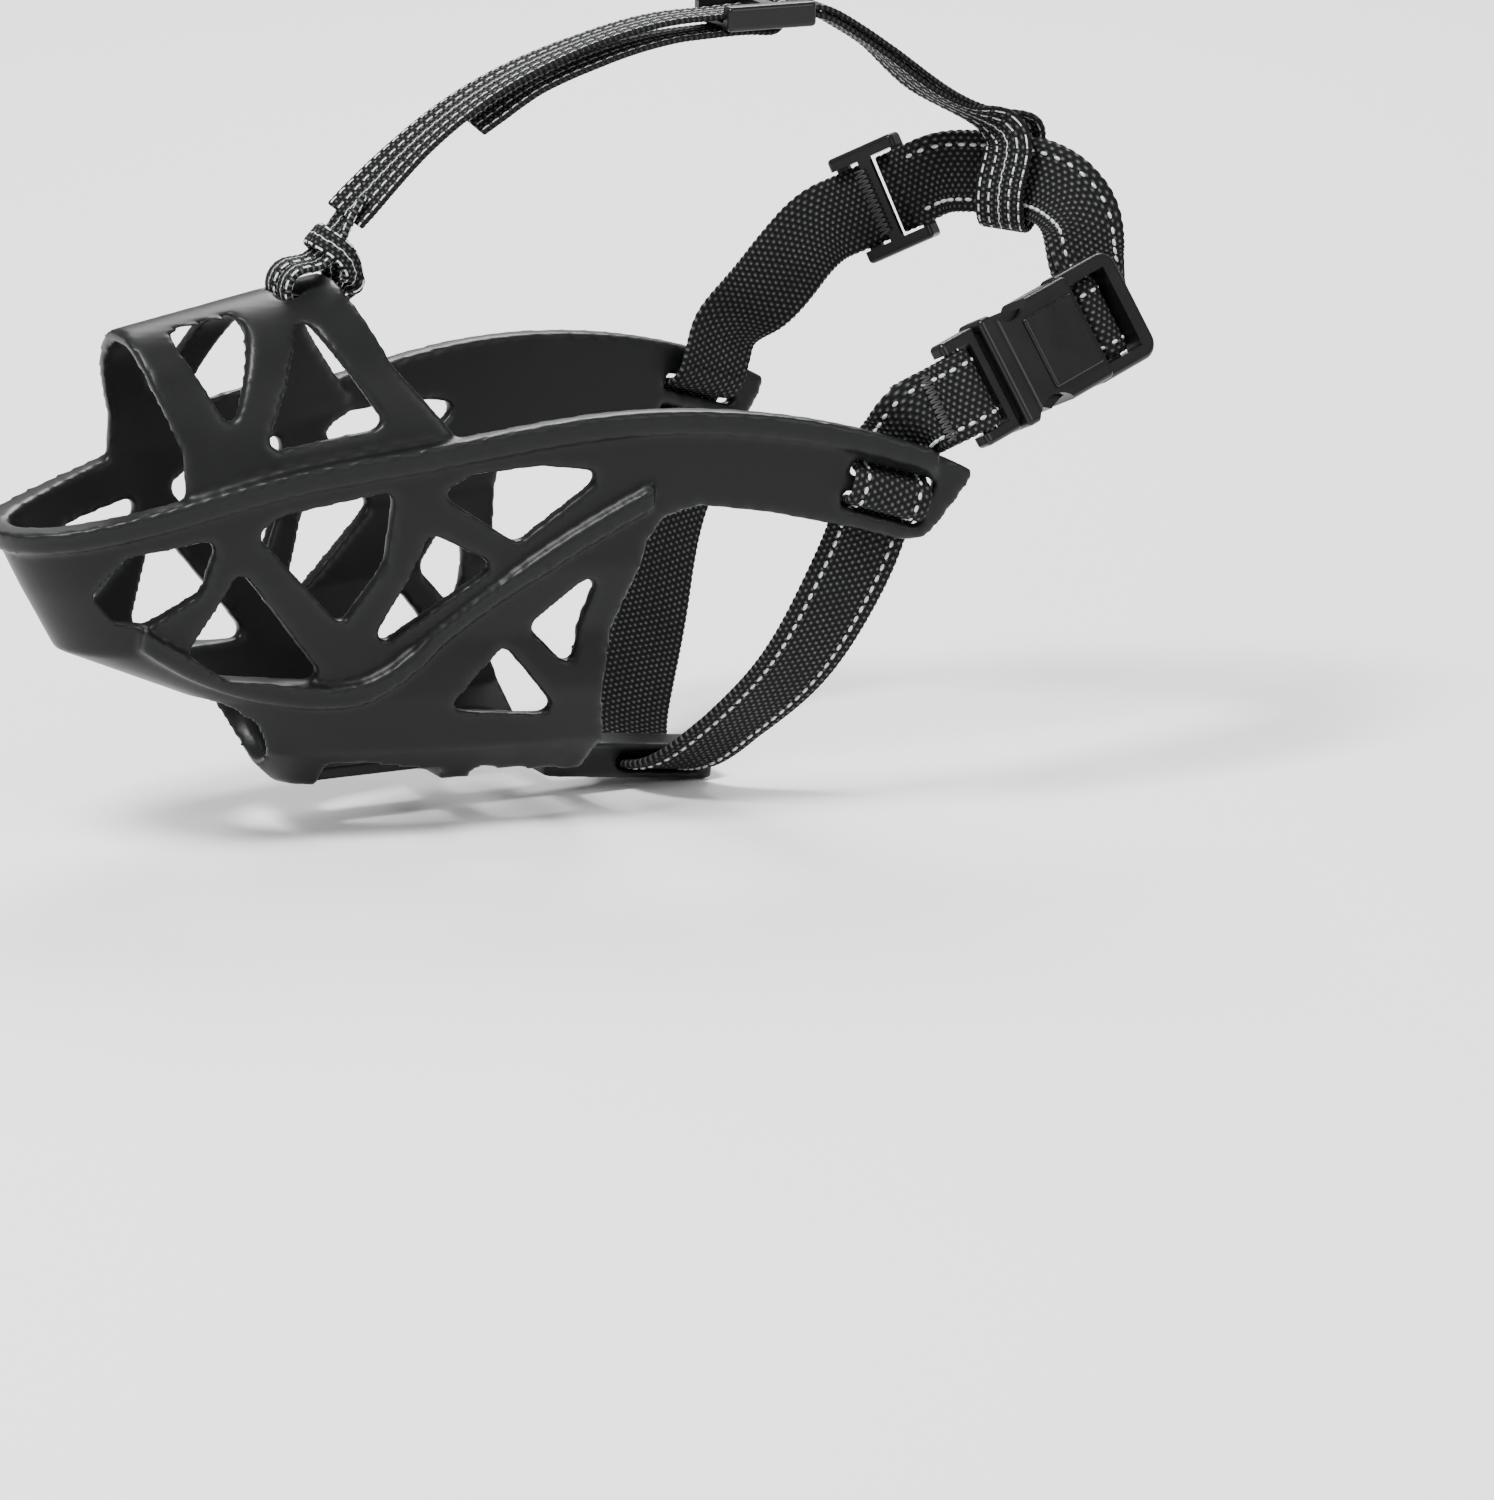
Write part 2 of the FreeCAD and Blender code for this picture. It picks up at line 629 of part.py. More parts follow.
FRONT_ROUTE = [
    (at_head(-40.5, 60.5), V(0.85, 0.35, -0.35)),
    (at_head(-29.0, 70.5), V(0.95, 0.2, -0.2)),
    (at_head(-12.0, 81.0), V(0.99, 0.08, -0.1)),
    (at_head(8.0, 88.0), flat_x),
    (at_head(27.0, 91.2), flat_x),
    (at_head(30.0, 91.3), flat_x),
    (at_head(58.0, 91.0), flat_x),
]
ring_at = 9
ring_point, ring_sideways = RIGHT_ROUTE[ring_at]
REAR_ROUTE = [
    (at_head(62.5, 87.6), flat_x),
    (at_head(70.0, 82.5), V(0.98, 0.1, -0.1)),
    (at_head(80.0, 74.0), V(0.95, 0.25, 0)),
    (ring_point + V(-1.0, -8.0, 13.0), V(0.9, 0.4, 0)),
]


def make_hitch():
    """The girth hitch: a loop round the crown's rear bar and the sewn eye above it."""
    y0 = crown_bar_back - hitch_bar - 1.6
    y1 = crown_bar_back + 1.4
    outer = block(-head_width / 2.0, head_width / 2.0, y0 - head_thick, y1 + head_thick,
                  hitch_low - head_thick, hitch_high + head_thick)
    loop = outer.cut(block(-20, 20, y0, y1, hitch_low, hitch_high))
    route = [(at_head(-48.5, hitch_high + 47.0 - crown_top + head_thick + 0.1), flat_x),
             (at_head(-46.0, 54.8), V(0.9, 0.3, -0.3)),
             (at_head(-41.3, 59.8), V(0.85, 0.35, -0.35))]
    eye = strip(route, head_width, 2.0 * head_thick + 0.6)
    return loop.fuse(eye)


def make_head_loop():
    """The head strap's loop round both layers of the neck strap."""
    along = (RIGHT_ROUTE[ring_at + 1][0] - RIGHT_ROUTE[ring_at - 1][0]).normalize()
    half = strap_width / 2.0 + 1.3
    low = -layer_gap - strap_thick / 2.0 - 1.4
    high = strap_thick / 2.0 + 1.4
    outer = block(-head_width / 2.0, head_width / 2.0, -half - head_thick, half + head_thick,
                  low - head_thick, high + head_thick)
    ring = outer.cut(block(-20, 20, -half, half, low, high))
    return put(ring, frame(ring_point, along, ring_sideways))


stitch_off = strap_thick / 2.0 + thread_size / 2.0 + thread_clear
NODES = {
    "cage": make_cage(),
    "throat_strap": strip(throat_route(), strap_width, strap_thick).fuse(
        [ear_thread(), mirrored(ear_thread())]),
    "stitch_throat": stitch_rows(throat_route()[1:5], strap_width, stitch_off + bend_clear),
    "neck_strap_left": strip(LEFT_ROUTE, strap_width, strap_thick),
    "neck_strap_right": strip(RIGHT_ROUTE, strap_width, strap_thick),
    "neck_strap_return": strip(shifted(RIGHT_ROUTE, -layer_gap)[8:], strap_width, strap_thick),
    "neck_strap_turn": make_turn(),
    "buckle_socket": make_socket(),
    "buckle_frame": make_buckle_frame(),
    "buckle_prong_upper": make_prong(1),
    "buckle_prong_lower": make_prong(-1),
    "neck_slide": make_slide(neck_slide_length, strap_width, strap_thick, RIGHT_ROUTE, 5, 0.5),
    "head_hitch": make_hitch(),
    "head_strap_front": strip(FRONT_ROUTE, head_width, head_thick),
    "head_strap_tail": strip([(p - V(0, 0, 2.9), d) for p, d in FRONT_ROUTE[2:5]],
                             head_width, head_thick),
    "head_slide": make_slide(head_slide_length, head_width, head_thick, FRONT_ROUTE, 5, 0.5),
    "head_strap_rear": strip(REAR_ROUTE, head_width, 2.0 * head_thick + 0.4),
    "head_loop": make_head_loop(),
    "stitch_neck_left": stitch_rows(LEFT_ROUTE[3:], strap_width, -stitch_off),
    "stitch_neck_right": stitch_rows(RIGHT_ROUTE[2:5], strap_width, stitch_off),
    "stitch_neck_return": stitch_rows(shifted(RIGHT_ROUTE, -layer_gap)[ring_at + 2:13],
                                      strap_width, -stitch_off - bend_clear),
    "tack_male_loop": make_tack(LEFT_ROUTE, 3, 0.5, strap_width,
                                -strap_thick / 2.0 - thread_size - 0.5),
    "tack_neck_slide": make_tack(RIGHT_ROUTE, 5, 0.5, strap_width, -strap_thick / 2.0 - 2.4),
    "tack_head_eye": make_tack(FRONT_ROUTE, 0, 0.5, head_width, head_thick / 2.0 + 0.8),
    "tack_head_slide": make_tack(FRONT_ROUTE, 5, 0.5, head_width, -head_thick / 2.0 - 2.4),
}

os.makedirs("parts", exist_ok=True)
for name, shape in NODES.items():
    print(name, shape.isValid(), len(shape.Solids), round(shape.Volume, 1), shape.BoundBox)
    shape.exportStep(os.path.join("parts", name + ".step"))
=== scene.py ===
import logging
import math
from dataclasses import dataclass, field
from enum import Enum
from typing import Any, Sequence

import bmesh
import bpy
import numpy as np
from mathutils import Matrix, Vector


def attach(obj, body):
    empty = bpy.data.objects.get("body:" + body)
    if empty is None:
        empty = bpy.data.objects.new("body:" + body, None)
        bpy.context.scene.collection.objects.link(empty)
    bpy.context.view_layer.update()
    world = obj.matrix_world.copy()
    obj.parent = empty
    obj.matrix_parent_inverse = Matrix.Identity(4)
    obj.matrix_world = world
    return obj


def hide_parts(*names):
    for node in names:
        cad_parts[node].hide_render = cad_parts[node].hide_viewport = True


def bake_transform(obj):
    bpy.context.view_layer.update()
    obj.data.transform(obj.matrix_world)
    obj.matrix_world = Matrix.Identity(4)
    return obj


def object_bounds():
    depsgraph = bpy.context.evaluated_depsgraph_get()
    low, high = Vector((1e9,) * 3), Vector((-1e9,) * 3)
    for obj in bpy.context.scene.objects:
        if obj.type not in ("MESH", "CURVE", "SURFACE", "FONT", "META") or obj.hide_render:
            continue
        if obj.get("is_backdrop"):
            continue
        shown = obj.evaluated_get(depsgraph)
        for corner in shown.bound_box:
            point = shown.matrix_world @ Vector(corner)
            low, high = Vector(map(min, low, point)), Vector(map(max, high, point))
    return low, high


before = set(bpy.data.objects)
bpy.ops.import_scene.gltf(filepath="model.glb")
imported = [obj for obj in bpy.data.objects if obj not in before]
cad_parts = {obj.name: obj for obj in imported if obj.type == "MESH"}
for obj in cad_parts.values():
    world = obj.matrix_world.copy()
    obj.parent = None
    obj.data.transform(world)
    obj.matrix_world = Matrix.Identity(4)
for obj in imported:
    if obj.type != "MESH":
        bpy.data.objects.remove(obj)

log = logging.getLogger("basket_muzzle")
MM = 0.001


# Shader building

class Wire:
    """A shader socket that Python's operators turn into nodes."""

    def __init__(self, kit: "Kit", socket: bpy.types.NodeSocket) -> None:
        self.kit = kit
        self.socket = socket

    def pair(self, operation: str, first: Any, second: Any = 0.0) -> "Wire":
        """A Math node of that operation on two values or wires."""
        return self.kit.node("ShaderNodeMath", {"operation": operation}, {0: first, 1: second})

    def output(self, name: str) -> "Wire":
        """Another output of the same node."""
        return Wire(self.kit, self.socket.node.outputs[name])

    def __add__(self, other: Any) -> "Wire":
        """The sum."""
        return self.pair("ADD", self, other)

    def __radd__(self, other: Any) -> "Wire":
        """The sum, with a number first."""
        return self.pair("ADD", other, self)

    def __sub__(self, other: Any) -> "Wire":
        """The difference."""
        return self.pair("SUBTRACT", self, other)

    def __rsub__(self, other: Any) -> "Wire":
        """The difference, with a number first."""
        return self.pair("SUBTRACT", other, self)

    def __mul__(self, other: Any) -> "Wire":
        """The product."""
        return self.pair("MULTIPLY", self, other)

    def __rmul__(self, other: Any) -> "Wire":
        """The product, with a number first."""
        return self.pair("MULTIPLY", other, self)

    def __truediv__(self, other: Any) -> "Wire":
        """The quotient."""
        return self.pair("DIVIDE", self, other)

    def __pow__(self, other: Any) -> "Wire":
        """The power."""
        return self.pair("POWER", self, other)

    def wave(self) -> "Wire":
        """Half a cosine's height, from 0 to 1, once for each whole number."""
        turn = self * math.tau
        return 0.5 + 0.5 * turn.pair("COSINE", turn)

    def floor(self) -> "Wire":
        """The whole number below."""
        return self.pair("FLOOR", self)

    def parity(self) -> "Wire":
        """0 or 1, for an even or odd whole number."""
        return self.pair("FLOORED_MODULO", self, 2.0)

    def size(self) -> "Wire":
        """The value without its sign."""
        return self.pair("ABSOLUTE", self)

    def below(self, limit: float) -> "Wire":
        """1 where the value is below the limit, and else 0."""
        return self.pair("LESS_THAN", self, limit)


class Kit:
    """One material and the nodes that dress its surface shader."""

    def __init__(self, name: str) -> None:
        """Makes the material with its Principled shader."""
        self.material = bpy.data.materials.new(name)
        self.material.use_nodes = True
        self.tree = self.material.node_tree
        self.surface = self.tree.nodes["Principled BSDF"]

    def node(self, kind: str, settings: dict[str, Any] | None = None,
             feeds: dict[Any, Any] | None = None, output: Any = 0) -> Wire:
        """Adds one node.

        Args:
            kind: the node's type.
            settings: its own settings, set before its sockets.
            feeds: a value or a wire for each of its sockets.
            output: which output the wire holds.

        Returns:
            The wire from that output.
        """
        made = self.tree.nodes.new(kind)
        for name, value in (settings or {}).items():
            setattr(made, name, value)
        for name, value in (feeds or {}).items():
            self.feed(made.inputs[name], value)
        return Wire(self, made.outputs[output])

    def feed(self, socket: bpy.types.NodeSocket, value: Any) -> None:
        """Links a wire to a socket, or sets the socket's value."""
        if isinstance(value, Wire):
            self.tree.links.new(value.socket, socket)
        else:
            socket.default_value = value

    def dress(self, **sockets: Any) -> None:
        """Feeds the surface shader, with underscores for the spaces in its sockets' names."""
        for name, value in sockets.items():
            self.feed(self.surface.inputs[name.replace("_", " ")], value)

    def mix(self, share: Any, first: Any, second: Any) -> Wire:
        """A colour between two colours."""
        return self.node("ShaderNodeMix", {"data_type": "RGBA"},
                         {0: share, 6: first, 7: second}, 2)

    def noise(self, scale: float, detail: float) -> Wire:
        """Noise on Object coordinates, with its scale per metre."""
        place = self.node("ShaderNodeTexCoord", output="Object")
        return self.node("ShaderNodeTexNoise", {},
                         {"Vector": place, "Scale": scale, "Detail": detail})

    def bump(self, height: Wire, strength: float, distance: float) -> None:
        """Feeds the surface's normal with a bump of that height in metres."""
        self.dress(Normal=self.node("ShaderNodeBump", {},
                                    {"Height": height, "Strength": strength,
                                     "Distance": distance}))


def grey(value: float, tint: float = 0.0) -> tuple[float, float, float, float]:
    """A grey with a little blue, or warmth where the tint is negative."""
    return (value * (1.0 - tint), value, value * (1.0 + tint), 1.0)


@dataclass(frozen=True)
class MouldedRubber:
    """Black satin rubber as it leaves the mould, a little polished and scuffed at its edges."""

    shade: float = 0.0042
    scuffed: float = 0.014
    roughness: float = 0.30
    gloss: float = 0.16

    def make(self) -> bpy.types.Material:
        """Returns the material, whose scuffs follow the mesh's edge attribute."""
        kit = Kit("cage_rubber")
        cloud = kit.noise(70.0, 4.0)
        grain = kit.noise(1900.0, 2.0)
        streak = kit.noise(420.0, 5.0)
        edge = kit.node("ShaderNodeAttribute", {"attribute_name": "edge"}, output="Fac")
        wear = edge * (0.35 + 0.65 * streak)
        kit.dress(Base_Color=kit.mix(wear * 0.8 + 0.18 * cloud, grey(self.shade, 0.03),
                                     grey(self.scuffed, 0.05)),
                  Roughness=self.roughness + 0.14 * cloud + 0.06 * grain - 0.05 * wear,
                  Specular_IOR_Level=self.gloss)
        kit.bump(grain * 0.5 + streak * 0.5, 0.22, 0.00008)
        return kit.material


@dataclass(frozen=True)
class Weave:
    """Black webbing woven in staggered floats, with a painted highlight on the float tops, and
    silver yarns where it has any.
    """

    name: str
    rib: float
    warp: float
    shade: float = 0.0028
    # The grey of the painted highlight that lightens the float tops.
    painted_glint_grey: float = 0.13
    yarn_pitch: float = 0.0
    yarn_reach: float = 0.0
    yarn_half: float = 0.17
    yarn_shade: float = 0.62
    rib_depth: float = 0.0003

    def make(self) -> bpy.types.Material:
        """Returns the material, whose pattern follows the uv map named weave, in millimetres."""
        kit = Kit(self.name)
        place = kit.node("ShaderNodeUVMap", {"uv_map": "weave"})
        split = kit.node("ShaderNodeSeparateXYZ", {}, {0: place})
        run, across = split, split.output("Y")
        column = across / self.warp
        staggered = run / self.rib + 0.5 * column.floor().parity()
        float_row = staggered.wave()
        half_turn = column * math.pi
        yarn = half_turn.pair("SINE", half_turn).size()
        dot = float_row * yarn
        fuzz = kit.noise(2600.0, 3.0)
        patch = kit.noise(150.0, 3.0)
        # Painted highlight: the float tops are coloured lighter, patched by noise, as a painted
        # glint where light would catch the yarn.
        shine = dot ** 3.0 * (0.25 + 0.75 * patch) * (0.6 + 0.8 * fuzz)
        colour = kit.mix(shine, grey(self.shade, 0.04), grey(self.painted_glint_grey, 0.03))
        height = dot + 0.25 * fuzz
        if self.yarn_pitch:
            nearest = ((across / self.yarn_pitch + 0.5).floor() * self.yarn_pitch - across).size()
            line = nearest.below(self.yarn_half) * across.size().below(self.yarn_reach)
            seen = line * (1.0 - (run / (self.rib * 2.0) + 0.5 * column.floor().parity())
                           .wave().below(0.30))
            colour = kit.mix(seen * 0.9, colour, grey(self.yarn_shade, 0.02))
            height = height + seen * 0.5
        kit.dress(Base_Color=colour, Roughness=0.78 - 0.30 * dot + 0.1 * fuzz,
                  Specular_IOR_Level=0.16)
        kit.bump(height, 0.85, self.rib_depth)
        return kit.material


@dataclass(frozen=True)
class BlackAcetal:
    """Glossy black injection-moulded acetal with a faint texture."""

    shade: float = 0.0040
    roughness: float = 0.20
    gloss: float = 0.26

    def make(self) -> bpy.types.Material:
        """Returns the material on Object coordinates."""
        kit = Kit("buckle_plastic")
        grain = kit.noise(2400.0, 2.0)
        cloud = kit.noise(160.0, 4.0)
        kit.dress(Base_Color=kit.mix(cloud * 0.5, grey(self.shade, 0.02), grey(0.009, 0.03)),
                  Roughness=self.roughness + 0.14 * cloud + 0.05 * grain,
                  Specular_IOR_Level=self.gloss)
        kit.bump(grain, 0.12, 0.00005)
        return kit.material


@dataclass(frozen=True)
class SilverThread:
    """Silver-white reflective thread with its twist."""

    shade: float = 0.62

    def make(self) -> bpy.types.Material:
        """Returns the material on Object coordinates."""
        kit = Kit("reflective_thread")
        twist = kit.noise(1700.0, 2.0)
        patch = kit.noise(240.0, 2.0)
        kit.dress(Base_Color=kit.mix(0.5 * twist + 0.4 * patch, grey(self.shade, 0.015),
                                     grey(0.34, 0.02)),
                  Roughness=0.34 + 0.2 * twist, Metallic=0.15)
        kit.bump(twist, 0.4, 0.0001)
        return kit.material


@dataclass(frozen=True)
class TackThread:
    """Black bar-tack thread with a soft shine."""

    shade: float = 0.004

    def make(self) -> bpy.types.Material:
        """Returns the material on Object coordinates."""
        kit = Kit("tack_thread")
        twist = kit.noise(2200.0, 2.0)
        kit.dress(Base_Color=kit.mix(twist, grey(self.shade), grey(0.018, 0.02)),
                  Roughness=0.42 + 0.2 * twist)
        kit.bump(twist, 0.4, 0.0001)
        return kit.material


@dataclass(frozen=True)
class PaleFloor:
    """A matt white studio floor."""

    shade: float = 0.86

    def make(self) -> bpy.types.Material:
        """Returns the material on Object coordinates."""
        kit = Kit("pale_floor")
        cloud = kit.noise(6.0, 2.0)
        kit.dress(Base_Color=kit.mix(cloud * 0.3, grey(self.shade), grey(self.shade * 0.97)),
                  Roughness=0.85)
        return kit.material


# Lines and surfaces

def natural_spline(knots: np.ndarray, values: np.ndarray, at: np.ndarray) -> np.ndarray:
    """A cubic through the values, straight at its ends, read at the given places.

    The second derivatives m solve h0 m0 + 2 (h0 + h1) m1 + h1 m2 = 6 (slope1 - slope0).

    Args:
        knots: the place of each value, rising.
        values: one row per knot.
        at: the places to read.

    Returns:
        One row per place.
    """
    step = np.diff(knots)
    count = len(knots)
    matrix = np.eye(count)
    right = np.zeros_like(values)
    mid = np.arange(1, count - 1)
    matrix[mid, mid - 1] = step[:-1]
    matrix[mid, mid] = 2.0 * (step[:-1] + step[1:])
    matrix[mid, mid + 1] = step[1:]
    slope = np.diff(values, axis=0) / step[:, None]
    right[1:-1] = 6.0 * np.diff(slope, axis=0)
    bend = np.linalg.solve(matrix, right)
    low = np.clip(np.searchsorted(knots, at, side="right") - 1, 0, count - 2)
    span = step[low][:, None]
    b = (at - knots[low])[:, None] / span
    a = 1.0 - b
    curve = (a ** 3 - a) * bend[low] + (b ** 3 - b) * bend[low + 1]
    return a * values[low] + b * values[low + 1] + curve * span ** 2 / 6.0


def eased(points: np.ndarray, count: int) -> np.ndarray:
    """A uniform cubic B-spline near the points, read at count places, that keeps both ends."""
    ends = np.vstack([2 * points[0] - points[1], points, 2 * points[-1] - points[-2]])
    place = np.linspace(0.0, len(points) - 1.0, count)
    low = np.clip(place.astype(int), 0, len(points) - 2)
    t = (place - low)[:, None]
    weights = ((1 - t) ** 3, 3 * t ** 3 - 6 * t ** 2 + 4, -3 * t ** 3 + 3 * t ** 2 + 3 * t + 1,
               t ** 3)
    return sum(w * ends[low + k] for k, w in enumerate(weights)) / 6.0


def unit(rows: np.ndarray) -> np.ndarray:
    """Each row at length 1."""
    return rows / np.linalg.norm(rows, axis=-1, keepdims=True)


@dataclass
class Frames:
    """Places along a line: centre, direction, width direction, face normal and run, in mm."""

    centre: np.ndarray
    along: np.ndarray
    wide: np.ndarray
    face: np.ndarray
    run: np.ndarray

    def at(self, runs: np.ndarray) -> "Frames":
        """The same frames read at other runs."""
        rows = [np.stack([np.interp(runs, self.run, part[:, axis]) for axis in range(3)], 1)
                for part in (self.centre, self.along, self.wide, self.face)]
        return Frames(rows[0], unit(rows[1]), unit(rows[2]), unit(rows[3]), runs)

    def nearest(self, point: Sequence[float]) -> float:
        """The run of the frame that is nearest to a point."""
        gap = np.linalg.norm(self.centre - np.array(point), axis=1)
        return float(self.run[int(gap.argmin())])


@dataclass
class Line:
    """A centre line with the direction of a band's width at each of its points, in mm."""

    points: list[Any] = field(default_factory=list)
    widths: list[Any] = field(default_factory=list)

    def add(self, point: Any, width: Any) -> "Line":
        """Adds one point and the width direction there."""
        self.points.append(np.array(point, float))
        self.widths.append(np.array(width, float))
        return self

    def join(self, points: Any, width: Any) -> "Line":
        """Adds several points with one width direction."""
        for point in points:
            self.add(point, width)
        return self

    def frames(self, step: float) -> Frames:
        """Frames at equal steps: a natural cubic through the points, with squared-up widths.

        Args:
            step: the distance from one frame to the next.

        Returns:
            The frames, whose face is the direction crossed with the width.
        """
        points, widths = np.array(self.points), unit(np.array(self.widths))
        knots = np.concatenate([[0.0], np.cumsum(np.linalg.norm(np.diff(points, axis=0),
                                                                axis=1))])
        dense = np.linspace(0.0, knots[-1], 4000)
        track = natural_spline(knots, points, dense)
        run = np.concatenate([[0.0], np.cumsum(np.linalg.norm(np.diff(track, axis=0), axis=1))])
        runs = np.arange(0.0, run[-1], step)
        places = np.interp(runs, run, dense)
        centre = natural_spline(knots, points, places)
        along = unit(np.gradient(centre, axis=0))
        wide = np.stack([np.interp(places, knots, widths[:, axis]) for axis in range(3)], 1)
        for _ in range(int(3.0 / step)):
            wide[1:-1] = 0.25 * wide[:-2] + 0.5 * wide[1:-1] + 0.25 * wide[2:]
        wide = unit(wide - along * np.sum(wide * along, axis=1, keepdims=True))
        return Frames(centre, along, wide, np.cross(along, wide), runs)


def make_mesh(name: str, points: np.ndarray, faces: Sequence[Any],
              uv: np.ndarray | None = None) -> bpy.types.Object:
    """A mesh object from points in millimetres and lists of corners.

    Args:
        name: the object's name.
        points: one row per vertex.
        faces: arrays of equal-sided faces, one row per face.
        uv: a row per vertex for the uv map named weave.

    Returns:
        The object, at the origin, with smooth faces.
    """
    mesh = bpy.data.meshes.new(name)
    corners = np.concatenate([group.ravel() for group in faces]).astype(np.int32)
    sides = np.concatenate([np.full(len(group), group.shape[1]) for group in faces])
    starts = np.concatenate([[0], np.cumsum(sides)[:-1]]).astype(np.int32)
    mesh.vertices.add(len(points))
    mesh.vertices.foreach_set("co", (points * MM).astype(np.float32).ravel())
    mesh.loops.add(len(corners))
    mesh.loops.foreach_set("vertex_index", corners)
    mesh.polygons.add(len(sides))
    mesh.polygons.foreach_set("loop_start", starts)
    mesh.polygons.foreach_set("use_smooth", np.ones(len(sides), bool))
    if uv is not None:
        layer = mesh.uv_layers.new(name="weave")
        layer.data.foreach_set("uv", uv[corners].astype(np.float32).ravel())
    mesh.update(calc_edges=True)
    mesh.validate()
    made = bpy.data.objects.new(name, mesh)
    bpy.context.scene.collection.objects.link(made)
    return made


def finish_piece(piece: bpy.types.Object, material: bpy.types.Material, slot: str,
                 *nodes: str) -> bpy.types.Object:
    """Gives a piece its material and hides the CAD nodes that it stands for."""
    piece.data.materials.clear()
    piece.data.materials.append(material)
    if nodes:
        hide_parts(*nodes)
    log.info("%s: %d faces", piece.name, len(piece.data.polygons))
    return piece


@dataclass
class Webbing:
    """A woven band: its width, thickness, the pitch of its ribs, and how it is meshed."""

    width: float
    thick: float
    rib: float
    rise: float = 0.10
    scallop: float = 0.24
    columns: int = 18

    def profile(self) -> tuple[np.ndarray, np.ndarray]:
        """The band's cross-section and its outward directions.

        A flat loop: straight faces joined by half circles that are as tall as the band.

        Returns:
            Points (across, out) and unit directions, once round.
        """
        half, radius = self.width / 2.0 - self.thick / 2.0, self.thick / 2.0
        flat = np.linspace(half, -half, self.columns)
        turn = np.linspace(0.0, math.pi, 6)[1:-1]
        left = np.stack([-half - radius * np.sin(turn), radius * np.cos(turn)], 1)
        top = np.stack([flat, np.full(len(flat), radius)], 1)
        upper = np.concatenate([top, left])
        points = np.concatenate([upper, -upper])
        middle = np.stack([np.clip(points[:, 0], -half, half), np.zeros(len(points))], 1)
        return points, unit(points - middle)

    def weave(self, name: str, frames: Frames) -> bpy.types.Object:
        """Carries the cross-section along the frames.

        The place at run u and profile point p is centre + wide (p.x + n.x d) + face (p.y + n.y d).
        On the faces, d is a cosine of u for the ribs. On the selvedges it is the scallops' height.

        Args:
            name: the object's name.
            frames: where the band runs.

        Returns:
            The closed band.
        """
        points, out = self.profile()
        ribs = np.cos(math.tau * frames.run / self.rib)
        selvedge = np.abs(out[:, 0])
        lift = (ribs[:, None] * self.rise * (1.0 - selvedge)[None, :]
                + (np.abs(np.sin(math.pi * frames.run / self.rib))[:, None] - 0.5)
                * self.scallop * selvedge[None, :])
        tuck = np.minimum(1.0, 0.55 + np.minimum(frames.run, frames.run[-1] - frames.run) / 0.9)
        x = points[None, :, 0] + out[None, :, 0] * lift
        y = (points[None, :, 1] + out[None, :, 1] * lift) * tuck[:, None]
        grid = (frames.centre[:, None, :] + frames.wide[:, None, :] * x[:, :, None]
                + frames.face[:, None, :] * y[:, :, None])
        rows, count = grid.shape[:2]
        index = np.arange(rows * count).reshape(rows, count)
        after = np.roll(index, -1, axis=1)
        quads = np.stack([index[:-1], after[:-1], after[1:], index[1:]], -1).reshape(-1, 4)
        tips = frames.centre[[0, -1]]
        first = np.stack([after[0], index[0], np.full(count, rows * count)], 1)
        last = np.stack([index[-1], after[-1], np.full(count, rows * count + 1)], 1)
        across = np.broadcast_to(points[:, 0], (rows, count)).ravel()
        runs = np.repeat(frames.run, count)
        uv = np.stack([np.concatenate([runs, frames.run[[0, -1]]]),
                       np.concatenate([across, [0.0, 0.0]])], 1)
        all_points = np.concatenate([grid.reshape(-1, 3), tips])
        return make_mesh(name, all_points, [quads, first, last], uv)

    def outside(self) -> float:
        """How far a thread's middle lies from the band's middle."""
        return self.thick / 2.0 + 0.12


